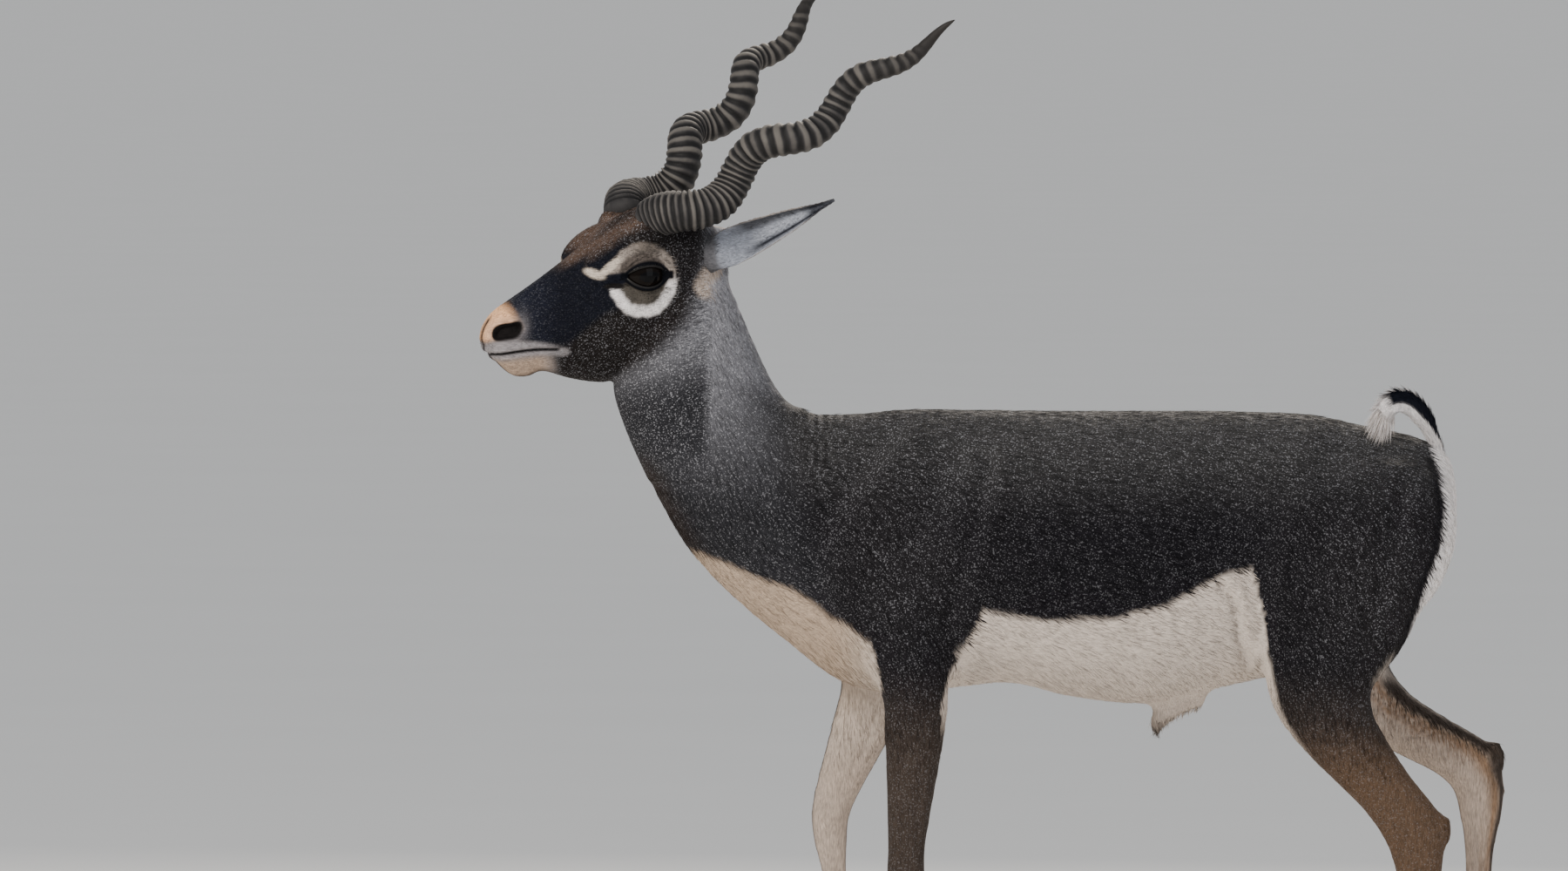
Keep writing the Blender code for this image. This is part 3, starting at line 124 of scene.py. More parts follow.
# Each spine row: top x, top z, bottom x, bottom z, half width, side offset, height of the widest
# level, roundness above, roundness below
SPINE = [
    (0.479, 0.699, 0.479, 0.64, 0.024, 0.0, 0.5, 2.0, 2.0),
    (0.466, 0.732, 0.46, 0.59, 0.056, 0.0, 0.5, 2.0, 2.0),
    (0.426, 0.749, 0.415, 0.54, 0.08, 0.0, 0.5, 2.0, 2.0),
    (0.376, 0.759, 0.365, 0.515, 0.094, 0.0, 0.5, 2.0, 2.0),
    (0.322, 0.77, 0.315, 0.5, 0.101, 0.0, 0.5, 2.0, 2.1),
    (0.231, 0.773, 0.236, 0.482, 0.11, 0.0, 0.47, 2.0, 2.2),
    (0.15, 0.773, 0.155, 0.465, 0.119, 0.0, 0.46, 2.0, 2.2),
    (0.076, 0.773, 0.076, 0.472, 0.118, 0.0, 0.46, 2.0, 2.2),
    (0.013, 0.774, 0.013, 0.486, 0.111, 0.0, 0.46, 1.95, 2.1),
    (-0.042, 0.775, -0.045, 0.481, 0.101, 0.0, 0.45, 1.9, 2.0),
    (-0.092, 0.776, -0.112, 0.475, 0.093, 0.0, 0.45, 1.9, 2.0),
    (-0.133, 0.772, -0.168, 0.489, 0.088, 0.0, 0.47, 1.9, 2.0),
    (-0.165, 0.77, -0.222, 0.529, 0.082, 0.0, 0.48, 1.9, 2.0),
    (-0.19, 0.769, -0.272, 0.57, 0.076, 0.0, 0.5, 1.9, 2.0),
    (-0.212, 0.776, -0.322, 0.622, 0.07, 0.0, 0.5, 2.0, 2.0),
    (-0.231, 0.798, -0.352, 0.672, 0.064, 0.0, 0.5, 2.0, 2.1),
    (-0.247, 0.83, -0.374, 0.716, 0.057, -0.004, 0.5, 2.0, 2.1),
    (-0.263, 0.868, -0.391, 0.756, 0.052, -0.01, 0.5, 2.0, 2.1),
    (-0.281, 0.908, -0.402, 0.795, 0.0465, -0.016, 0.5, 2.0, 2.1),
    (-0.308, 0.932, -0.398, 0.835, 0.036, -0.022, 0.5, 2.0, 2.0),
]

# Each head row: distance back from the nose, top, bottom, half width, height of the widest level,
# roundness above, roundness below
HEAD_ROWS = [
    (-0.004, 0.003, -0.013, 0.009, 0.5, 2.0, 2.0),
    (0.003, 0.0115, -0.029, 0.016, 0.52, 2.1, 2.0),
    (0.01, 0.0165, -0.044, 0.02, 0.58, 2.2, 2.0),
    (0.018, 0.0205, -0.0535, 0.0222, 0.6, 2.3, 1.9),
    (0.03, 0.0238, -0.059, 0.024, 0.56, 2.3, 1.9),
    (0.048, 0.027, -0.0615, 0.0255, 0.5, 2.2, 1.9),
    (0.075, 0.0315, -0.083, 0.029, 0.5, 2.2, 1.8),
    (0.105, 0.037, -0.1015, 0.0345, 0.54, 2.2, 1.75),
    (0.13, 0.0415, -0.107, 0.0405, 0.58, 2.3, 1.8),
    (0.155, 0.0475, -0.1095, 0.0455, 0.61, 2.4, 1.9),
    (0.18, 0.053, -0.1085, 0.048, 0.62, 2.4, 2.0),
    (0.205, 0.0545, -0.106, 0.0485, 0.6, 2.3, 2.1),
    (0.23, 0.051, -0.098, 0.047, 0.56, 2.2, 2.1),
    (0.255, 0.04, -0.082, 0.0425, 0.53, 2.0, 2.0),
    (0.278, 0.015, -0.048, 0.03, 0.5, 2.0, 2.0),
]

# Each leg row: x, z, distance from the midline, half depth fore and aft, half width across
FORE_NEAR = [
    (-0.052, 0.742, 0.036, 0.04, 0.026),
    (-0.082, 0.69, 0.054, 0.058, 0.036),
    (-0.116, 0.63, 0.062, 0.066, 0.041),
    (-0.12, 0.572, 0.063, 0.06, 0.041),
    (-0.1, 0.528, 0.064, 0.05, 0.037),
    (-0.087, 0.482, 0.064, 0.037, 0.03),
    (-0.088, 0.436, 0.064, 0.0325, 0.0255),
    (-0.091, 0.391, 0.063, 0.028, 0.022),
    (-0.0945, 0.345, 0.062, 0.0235, 0.019),
    (-0.0965, 0.313, 0.061, 0.0208, 0.018),
    (-0.097, 0.287, 0.061, 0.0215, 0.019),
    (-0.0965, 0.26, 0.061, 0.019, 0.0165),
    (-0.096, 0.228, 0.06, 0.0145, 0.0135),
    (-0.0955, 0.17, 0.06, 0.0126, 0.0116),
    (-0.0945, 0.118, 0.06, 0.0134, 0.0126),
    (-0.0945, 0.087, 0.06, 0.0172, 0.0168),
    (-0.103, 0.065, 0.06, 0.0142, 0.0165),
    (-0.116, 0.043, 0.06, 0.0152, 0.018),
    (-0.129, 0.022, 0.06, 0.0185, 0.0195),
    (-0.133, 0.012, 0.06, 0.019, 0.0195),
]
FORE_FAR = [
    (-0.052, 0.742, 0.036, 0.04, 0.026),
    (-0.084, 0.69, 0.054, 0.058, 0.036),
    (-0.122, 0.63, 0.062, 0.066, 0.041),
    (-0.132, 0.572, 0.063, 0.06, 0.041),
    (-0.126, 0.528, 0.064, 0.05, 0.037),
    (-0.129, 0.482, 0.064, 0.037, 0.03),
    (-0.143, 0.436, 0.064, 0.0325, 0.0255),
    (-0.158, 0.398, 0.063, 0.0275, 0.022),
    (-0.17, 0.366, 0.062, 0.0235, 0.019),
    (-0.1755, 0.344, 0.061, 0.0215, 0.019),
    (-0.1745, 0.318, 0.061, 0.019, 0.0165),
    (-0.171, 0.284, 0.06, 0.0145, 0.0135),
    (-0.1655, 0.22, 0.06, 0.0126, 0.0116),
    (-0.1595, 0.165, 0.06, 0.0134, 0.0126),
    (-0.157, 0.134, 0.06, 0.0172, 0.0168),
    (-0.16, 0.104, 0.06, 0.0142, 0.0165),
    (-0.1625, 0.072, 0.06, 0.015, 0.018),
    (-0.1625, 0.042, 0.06, 0.018, 0.0195),
    (-0.161, 0.03, 0.06, 0.018, 0.0195),
]
HIND_NEAR = [
    (0.392, 0.722, 0.04, 0.055, 0.04),
    (0.388, 0.672, 0.058, 0.0955, 0.056),
    (0.358, 0.612, 0.066, 0.1005, 0.062),
    (0.348, 0.56, 0.068, 0.0845, 0.056),
    (0.338, 0.515, 0.068, 0.068, 0.048),
    (0.337, 0.48, 0.068, 0.056, 0.042),
    (0.352, 0.443, 0.067, 0.043, 0.036),
    (0.376, 0.41, 0.066, 0.036, 0.03),
    (0.406, 0.373, 0.065, 0.0315, 0.0225),
    (0.4305, 0.338, 0.064, 0.033, 0.02),
    (0.437, 0.302, 0.063, 0.0275, 0.0185),
    (0.4375, 0.266, 0.062, 0.0205, 0.016),
    (0.4375, 0.225, 0.061, 0.0158, 0.0138),
    (0.4365, 0.16, 0.06, 0.0136, 0.0122),
    (0.4345, 0.12, 0.06, 0.0142, 0.0128),
    (0.4335, 0.09, 0.06, 0.0178, 0.0165),
    (0.4245, 0.067, 0.06, 0.0145, 0.0165),
    (0.4115, 0.044, 0.06, 0.0152, 0.018),
    (0.3985, 0.022, 0.06, 0.0185, 0.0195),
    (0.3945, 0.012, 0.06, 0.019, 0.0195),
]
HIND_FAR = [
    (0.392, 0.722, 0.04, 0.055, 0.04),
    (0.388, 0.672, 0.058, 0.0955, 0.056),
    (0.359, 0.612, 0.066, 0.099, 0.062),
    (0.354, 0.565, 0.068, 0.086, 0.056),
    (0.352, 0.523, 0.068, 0.067, 0.048),
    (0.371, 0.485, 0.068, 0.048, 0.042),
    (0.406, 0.453, 0.067, 0.0345, 0.034),
    (0.443, 0.43, 0.066, 0.0305, 0.027),
    (0.472, 0.414, 0.065, 0.0295, 0.0225),
    (0.4945, 0.398, 0.0645, 0.031, 0.0205),
    (0.5045, 0.377, 0.064, 0.0285, 0.02),
    (0.5065, 0.35, 0.063, 0.0245, 0.0185),
    (0.5055, 0.318, 0.062, 0.0182, 0.016),
    (0.5045, 0.283, 0.061, 0.0152, 0.0138),
    (0.502, 0.215, 0.06, 0.0136, 0.0122),
    (0.499, 0.17, 0.06, 0.0142, 0.0128),
    (0.497, 0.14, 0.06, 0.0178, 0.0165),
    (0.493, 0.108, 0.06, 0.0145, 0.0165),
    (0.49, 0.074, 0.06, 0.015, 0.018),
    (0.489, 0.042, 0.06, 0.018, 0.0195),
    (0.49, 0.03, 0.06, 0.018, 0.0195),
]
LEGS = {
    "fore_left": (FORE_NEAR, -1.0),
    "fore_right": (FORE_FAR, 1.0),
    "hind_left": (HIND_NEAR, -1.0),
    "hind_right": (HIND_FAR, 1.0),
}
HOCKS = {"hind_left": (0.4615, 0.337), "hind_right": (0.5215, 0.406)}
HOCK_OFFSET = 0.064
HOCK_RADII = (0.0125, 0.009, 0.02)
FEET = {
    "fore_left": (-0.136, 0.0),
    "fore_right": (-0.145, math.radians(70.0)),
    "hind_left": (0.3915, 0.0),
    "hind_right": (0.5065, math.radians(70.0)),
}
SHEATH = [
    (0.215, 0.478, 0.016, 0.014),
    (0.19, 0.468, 0.015, 0.013),
    (0.172, 0.455, 0.0125, 0.0115),
    (0.165, 0.441, 0.0085, 0.0085),
    (0.163, 0.432, 0.004, 0.004),
]
SCROTUM_CENTRE = Vector((0.335, 0.0, 0.497))
SCROTUM_RADII = (0.024, 0.021, 0.032)

# Each tail row: x, z, y before the shift to the model's middle, half width, half thickness
TAIL = [
    (0.449, 0.7, 0.000, 0.01, 0.009),
    (0.458, 0.724, 0.000, 0.011, 0.0085),
    (0.451, 0.7495, -0.001, 0.0125, 0.0065),
    (0.4395, 0.769, -0.006, 0.014, 0.005),
    (0.4255, 0.7805, -0.013, 0.015, 0.0042),
    (0.411, 0.78, -0.022, 0.014, 0.004),
    (0.4, 0.77, -0.031, 0.0115, 0.0038),
]


# Shapes from arrays

def smooth_rows(rows, per_span):
    """Carry a smooth Catmull-Rom curve through the rows of a table."""
    table = np.array(rows, dtype=float)
    ends = np.vstack([2 * table[0] - table[1], table, 2 * table[-1] - table[-2]])
    t = np.linspace(0.0, 1.0, per_span, endpoint=False)[None, :, None]
    before, start, end, after = [ends[i:i + len(table) - 1][:, None] for i in range(4)]
    curve = 0.5 * (2 * start + (end - before) * t
                   + (2 * before - 5 * start + 4 * end - after) * t ** 2
                   + (3 * start - before - 3 * end + after) * t ** 3)
    return np.vstack([curve.reshape(-1, table.shape[1]), table[-1:]])


def superellipse(count, above, below):
    """Unit section: side and height of each point, rounder or squarer above and below its middle."""
    angle = np.linspace(0.0, 2.0 * math.pi, count, endpoint=False)
    cosine, sine = np.cos(angle), np.sin(angle)
    power = np.where(sine >= 0.0, 2.0 / above, 2.0 / below)
    return np.sign(cosine) * np.abs(cosine) ** power, np.sign(sine) * np.abs(sine) ** power


def bump(distance, width):
    """A soft bell that falls to nothing over its width."""
    return np.exp(-(distance / width) ** 2)


def step(value, start, end):
    """A smooth step from 0 at start to 1 at end."""
    t = np.clip((value - start) / (end - start), 0.0, 1.0)
    return t * t * (3.0 - 2.0 * t)


def unit(vectors):
    """Vectors of length 1."""
    return vectors / np.maximum(np.linalg.norm(vectors, axis=-1, keepdims=True), 1e-9)


def grid_faces(rows, count, looped=False):
    """Faces of a grid whose rows of points close on themselves; looped joins the last row to the first."""
    i, j = np.meshgrid(np.arange(rows if looped else rows - 1), np.arange(count), indexing="ij")
    a, b = (i + 1) % rows, (j + 1) % count
    return np.stack([i * count + j, i * count + b, a * count + b, a * count + j], axis=-1).reshape(-1, 4)


def tube_mesh(rings):
    """Points and faces of a stack of equal rings, closed at both ends by a fan."""
    rings = np.asarray(rings)
    rows, count = rings.shape[:2]
    points = np.vstack([rings.reshape(-1, 3), rings[0].mean(axis=0), rings[-1].mean(axis=0)])
    j = np.arange(count)
    k = (j + 1) % count
    end = (rows - 1) * count
    first = np.stack([k, j, np.full(count, rows * count)], axis=1)
    last = np.stack([end + j, end + k, np.full(count, rows * count + 1)], axis=1)
    return points, grid_faces(rows, count).tolist() + first.tolist() + last.tolist()


def new_object(name, points, faces):
    """Make an object from points and faces in the scene, with its normals pointing out."""
    mesh = bpy.data.meshes.new(name)
    mesh.from_pydata(np.asarray(points).tolist(), [], [tuple(f) for f in faces])
    shape = bmesh.new()
    shape.from_mesh(mesh)
    bmesh.ops.recalc_face_normals(shape, faces=shape.faces[:])
    shape.to_mesh(mesh)
    shape.free()
    mesh.shade_smooth()
    made = bpy.data.objects.new(name, mesh)
    bpy.context.scene.collection.objects.link(made)
    return made


def merge(parts):
    """One list of points and one of faces from several."""
    points, faces, start = [], [], 0
    for part_points, part_faces in parts:
        points.append(np.asarray(part_points))
        faces.extend([[start + i for i in face] for face in part_faces])
        start += len(part_points)
    return np.vstack(points), faces


def points_of(mesh, kind="co"):
    """Points of a mesh as an array, or their normals."""
    flat = np.empty(len(mesh.vertices) * 3)
    mesh.vertices.foreach_get(kind, flat)
    return flat.reshape(-1, 3)


def set_points(mesh, points):
    """Move the points of a mesh."""
    mesh.vertices.foreach_set("co", points.ravel())
    mesh.update()


def paint(mesh, name, values):
    """Store one colour or number for each point."""
    values = np.asarray(values, dtype=np.float32)
    if values.ndim == 1:
        layer = mesh.attributes.new(name, "FLOAT", "POINT")
        layer.data.foreach_set("value", values)
        return
    layer = mesh.color_attributes.new(name, "FLOAT_COLOR", "POINT")
    full = np.ones((len(values), 4), np.float32)
    full[:, :3] = values
    layer.data.foreach_set("color", full.ravel())


def apply_modifiers(item):
    """Replace an object's mesh by what its modifiers make of it."""
    graph = bpy.context.evaluated_depsgraph_get()
    graph.update()
    made = bpy.data.meshes.new_from_object(item.evaluated_get(graph))
    item.modifiers.clear()
    old = item.data
    item.data = made
    bpy.data.meshes.remove(old)


def settle(item, name, material, nodes):
    """Name a finished piece, dress it, and let it stand for the solids it replaces."""
    item.name = name
    item.data.name = name
    item.data.materials.clear()
    item.data.materials.append(material)
    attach(item, "root")
    if nodes:
        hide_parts(*nodes)
    return item


# The head's own frame

def head_axes():
    """Unit vectors of the head: back along the skull, up, and out to its left."""
    yaw, pitch, roll = HEAD_YAW, HEAD_PITCH, HEAD_ROLL
    back = Vector((math.cos(yaw) * math.cos(pitch), math.sin(yaw) * math.cos(pitch), math.sin(pitch)))
    up = Vector((-math.cos(yaw) * math.sin(pitch), -math.sin(yaw) * math.sin(pitch), math.cos(pitch)))
    left = Vector((math.sin(yaw), -math.cos(yaw), 0.0))
    return back, math.cos(roll) * up + math.sin(roll) * left, math.cos(roll) * left - math.sin(roll) * up


HEAD_MATRIX = np.array([tuple(axis) for axis in head_axes()])


def head_point(place, side=1.0):
    """A place on the head from its distance back, up and to the side: 1 for the left, -1 for the right."""
    return np.array(NOSE) + np.array((place[0], place[1], side * place[2])) @ HEAD_MATRIX


def head_coordinates(points):
    """Distance back, up and left of the nose for an array of points before the shift."""
    return (points - np.array(NOSE)) @ HEAD_MATRIX.T


def turned(run, rise, angle):
    """Distances along and across a direction that is turned by an angle."""
    cosine, sine = math.cos(angle), math.sin(angle)
    return run * cosine + rise * sine, rise * cosine - run * sine


def mouth_level(back):
    """Height of the line between the lips."""
    return MOUTH_LEVEL + MOUTH_SLOPE * back + MOUTH_SAG * np.sin(back / MOUTH_LENGTH * math.pi)


def gland_share(back, up, grow=1.0):
    """1 in the middle of the gland ahead of the eye, 0 away from it."""
    along = (back - GLAND_PLACE[0]) / (GLAND_RADII[0] * grow)
    across = (up - GLAND_PLACE[1] + (back - GLAND_PLACE[0]) * GLAND_SLOPE) / (GLAND_RADII[1] * grow)
    return np.exp(-(along ** 2 + across ** 2))


def nostril_share(back, up, grow=(0.0, 0.0)):
    """1 in the nostril, whose rear end curls up, 0 away from it; grow adds to its length and height."""
    run, rise = turned(back - NOSTRIL_PLACE[0], up - NOSTRIL_PLACE[1], NOSTRIL_SLANT)
    rise = rise - NOSTRIL_CURL * (run / NOSTRIL_HALF_LENGTH) ** 2 * np.sign(run)
    length, height = NOSTRIL_HALF_LENGTH + grow[0], NOSTRIL_HALF_HEIGHT + grow[1]
    return np.exp(-((run / length) ** 4 + (rise / height) ** 2 * 0.8))


def slit_coordinates(back, up):
    """Distance along and across the opening between the lids."""
    return turned(back - EYE_PLACE[0], up - EYE_PLACE[1], EYE_SLIT_TILT)


def slit_edge(run):
    """Half height of the opening between the lids at a distance along it."""
    half, high = EYE_SLIT_HALF_LENGTH, EYE_SLIT_HALF_HEIGHT
    radius = (half ** 2 + high ** 2) / (2.0 * high)
    return np.sqrt(np.maximum(radius ** 2 - np.minimum(np.abs(run), half) ** 2, 0.0)) - (radius - high)


# Markings shared by skin and coat

# Lines on the side of the body: edge of the pale underside by x, then the front edge of the white rump
# and the front of the throat by height
TRUNK_LINE = ((-0.42, 0.61), (-0.345, 0.634), (-0.328, 0.629), (-0.287, 0.618), (-0.224, 0.589),
              (-0.178, 0.564), (-0.133, 0.532), (-0.123, 0.49), (-0.12, -0.1), (-0.062, -0.1),
              (-0.06, 0.469), (-0.0545, 0.493), (-0.041, 0.52), (-0.0227, 0.55), (-0.0176, 0.5686),
              (0.049, 0.559), (0.122, 0.559), (0.176, 0.577), (0.231, 0.604), (0.262, 0.61),
              (0.275, 0.56), (0.285, 0.47), (0.296, -0.1), (0.6, -0.1))
RUMP_EDGE = ((0.509, 0.415), (0.5747, 0.4367), (0.599, 0.4449), (0.6315, 0.4579), (0.672, 0.4627),
             (0.714, 0.457), (0.745, 0.445))
THROAT_EDGE = ((0.6, -0.31), (0.672, -0.352), (0.716, -0.374), (0.756, -0.391), (0.795, -0.402),
               (0.835, -0.398))
# Lines on the side of the head: lower edge of the mask by run, front edge of the grey cheek by rise, top
# of the muzzle by distance back, and crest of the forehead by run
MASK_LINE = ((0.018, 0.024), (0.0257, 0.015), (0.0385, 0.0000), (0.0602, -0.0078), (0.0857, -0.0078),
             (0.1061, 0.01), (0.1265, 0.0253), (0.15, 0.033))
CHEEK_LINE = ((-0.06, 0.118), (-0.0486, 0.1265), (-0.0155, 0.1775), (0.0151, 0.2081), (0.0457, 0.2209),
              (0.08, 0.23))
BRIDGE_LINE = ((0.04, 0.024), (0.08, 0.03), (0.12, 0.036), (0.16, 0.044), (0.2, 0.05))
CREST_LINE = ((0.06, 0.066), (0.0831, 0.0776), (0.1571, 0.121), (0.18, 0.134))


def follow(line, value):
    """Second coordinate of a drawn line where the first has the given value."""
    return np.interp(value, [place[0] for place in line], [place[1] for place in line])


def mix(first, second, share):
    """Blend the colours of the points toward another, by a share for each point."""
    share = np.clip(share, 0.0, 1.0)[:, None]
    return first * (1.0 - share) + np.asarray(second) * share


def plain(look, name, count):
    """One named colour for each of a number of points."""
    return np.tile(np.array(look[name]), (count, 1))


def layers(colour, look, *named):
    """Lay named colours over one another, each by a share for each point."""
    for name, share in named:
        colour = mix(colour, look[name], share)
    return colour


def wobble(points, scale, seed):
    """Soft irregular waves from -1 to 1: a sum of sines along fixed crossing directions."""
    rng = np.random.default_rng(seed)
    total = np.zeros(len(points))
    for k in range(6):
        direction = unit(rng.normal(size=3))
        total += np.sin(points @ direction * scale * (1.0 + 0.35 * k) + rng.uniform(0.0, 6.28))
    return total / 3.2


def blob(run, rise, centre, radii, turn=0.0, soft=0.25):
    """A soft-edged ellipse on the side of the head: 1 inside, 0 outside."""
    along, across = turned(run - centre[0], rise - centre[1], turn)
    distance = np.sqrt((along / radii[0]) ** 2 + (across / radii[1]) ** 2)
    return step(1.0 - distance, -soft / 2.0, soft / 2.0)


def leg_centres(z, rows):
    """Where the middle of a leg lies fore and aft at each height."""
    table = np.array(rows)[::-1]
    return np.interp(z, table[:, 1], table[:, 0])


def markings(points, normals, look):
    """Colour and grizzle of the coat for points before the shift, with their normals.

    The masks are smooth steps across lines drawn on the side of the body and on the head.
    """
    x, y, z = points.T
    nx, ny, nz = normals.T
    soft = 0.0025 * wobble(points, 90.0, 3)
    side = np.sign(y)
    inward = -side * ny
    back = step(z, 0.645, 0.765) * step(x, -0.3, -0.16)
    haunch = np.maximum(bump(x - 0.4, 0.085) * bump(z - 0.585, 0.11) * 0.9,
                        bump(x + 0.105, 0.075) * bump(z - 0.62, 0.12) * 0.75)
    lower_leg = step(0.52 - z, 0.0, 0.12)
    hind = step(x, 0.26, 0.32)
    # Neck: grey and speckled under the ear, darker toward the trunk, browner down the throat
    neck = np.maximum(step(-0.155 - x - (z - 0.6) * 0.35, 0.0, 0.07),
                      step(z, 0.765, 0.815) * step(-0.175 - x, 0.0, 0.025)) * step(z, 0.54, 0.59)
    throat_edge = follow(THROAT_EDGE, z)
    high = step(z, 0.66, 0.9) * (0.25 + 0.75 * step(x - throat_edge, 0.015, 0.075))
    throat = neck * step(throat_edge + 0.032 - x, 0.0, 0.036)
    colour = layers(plain(look, "flank", len(points)), look, ("back", back), ("haunch", haunch),
                    ("leg", lower_leg), ("tan", 0.3 * step(0.46 - z, 0.0, 0.08) * hind),
                    ("neck_low", neck), ("neck", neck * high), ("throat", throat * 0.85))
    grizzle = 0.2 + 0.25 * back + 0.2 * haunch - 0.04 * lower_leg
    grizzle = grizzle * (1.0 - neck) + neck * (0.32 + 0.63 * high) * (1.0 - 0.5 * throat)
    # Pale chest, belly and inner sides of the legs
    apart = leg_centres(z, FORE_FAR) - leg_centres(z, FORE_NEAR)
    apart = apart * (y > 0.0) * (x < 0.1) * step(0.6 - z, 0.0, 0.05)
    below = step(follow(TRUNK_LINE, x - apart) - z + soft, -0.004, 0.005) * step(z, 0.43, 0.46)
    below *= (step(ny * side, -0.55, -0.45) + step(-0.12 - x, -0.02, 0.02)) > 0.5
    under = step(-nz, 0.45, 0.7) * step(0.545 - z, 0.0, 0.02) * step(z, 0.44, 0.47)
    inner = step(inward, 0.1, 0.4) * step(0.56 - z, 0.0, 0.03)
    elbow = step(nx, 0.35, 0.65) * step(0.585 - z, 0.0, 0.02) * step(z, 0.4, 0.48) \
        * step(0.02 - x, 0.0, 0.02) * step(inward, -0.25, 0.05)
    groin = step(-nx + 0.5 * inward, 0.35, 0.65) * step(0.62 - z, 0.0, 0.03) \
        * step(z, 0.4, 0.46) * step(x, 0.22, 0.25) * step(0.42 - x, 0.0, 0.02)
    pale = np.clip(np.maximum.reduce([below, under, inner, elbow, groin]), 0.0, 1.0)
    rear = 0.75 * nx + 0.65 * np.maximum(nz, 0.0)
    pale_colour = layers(plain(look, "belly", len(points)), look, ("shade", step(0.52 - z, 0.0, 0.14)),
                         ("chest", step(-0.1 - x, 0.0, 0.08) * step(z, 0.42, 0.5)),
                         ("tan", inner * hind * (0.1 + 0.8 * bump(rear - 0.34, 0.2))))
    colour = mix(colour, pale_colour, pale)
    grizzle = grizzle * (1.0 - pale) + 0.05 * pale
    # Tan toward the feet, with a dark line down the front and down the back of the hind legs
    tan = step(0.3 - z, 0.0, 0.1) * (1.0 - 0.5 * pale)
    point_x, point_z = HOCKS["hind_right"]
    dark_edge = np.maximum(
        np.maximum(inner, pale) * step(rear, 0.44, 0.6) * step(x, 0.36, 0.4) * step(0.5 - z, 0.0, 0.02),
        (y > 0.0) * step(x - point_x + 0.01, 0.0, 0.008) * bump(z - point_z, 0.026))
    # White behind, each side of the tail, edged with a darker line
    past = x - follow(RUMP_EDGE, z)
    behind = step(nx, 0.3, 0.5)
    white = step(past + 0.25 * soft, -0.002, 0.002) * behind * step(z, 0.53, 0.57)
    white = white * step(0.745 - z, 0.0, 0.01)
    rim = step(past + 0.009, -0.002, 0.003) * step(z, 0.46, 0.52) * step(0.735 - z, 0.0, 0.01)
    colour = layers(colour, look, ("tan", 0.45 * tan * (1.0 - step(-nx, 0.5, 0.9))), ("leg", dark_edge),
                    ("flank", 0.9 * rim * behind), ("white", white))
    grizzle = grizzle * (1.0 - np.maximum(white, 0.8 * rim * behind))
    # Head, and the pale patch under each ear across the join of head and neck
    own = head_coordinates(points)
    on_head = step(0.262 - own[:, 0] + 0.3 * (own[:, 1] + 0.05), 0.0, 0.03) * step(z, 0.7, 0.74) \
        * step(-0.3 - x, 0.0, 0.01)
    if on_head.max() > 0.0:
        face_colour, face_grizzle = head_markings(own, normals @ HEAD_MATRIX.T, look)
        colour = mix(colour, face_colour, on_head)
        grizzle = grizzle * (1.0 - on_head) + face_grizzle * on_head
    near_ear = np.maximum(blob(own[:, 0], own[:, 1], (0.245, -0.029), (0.019, 0.0105), 0.25, 0.9),
                          blob(own[:, 0], own[:, 1], (0.229, -0.038), (0.009, 0.0115), 0.1, 0.9))
    near_ear *= step(z, 0.8, 0.84) * step(-0.24 - x, 0.0, 0.02) * step(np.abs(own[:, 2]), 0.015, 0.03)
    return mix(colour, look["ear_patch"], 0.85 * near_ear), np.clip(grizzle, 0.0, 1.0)


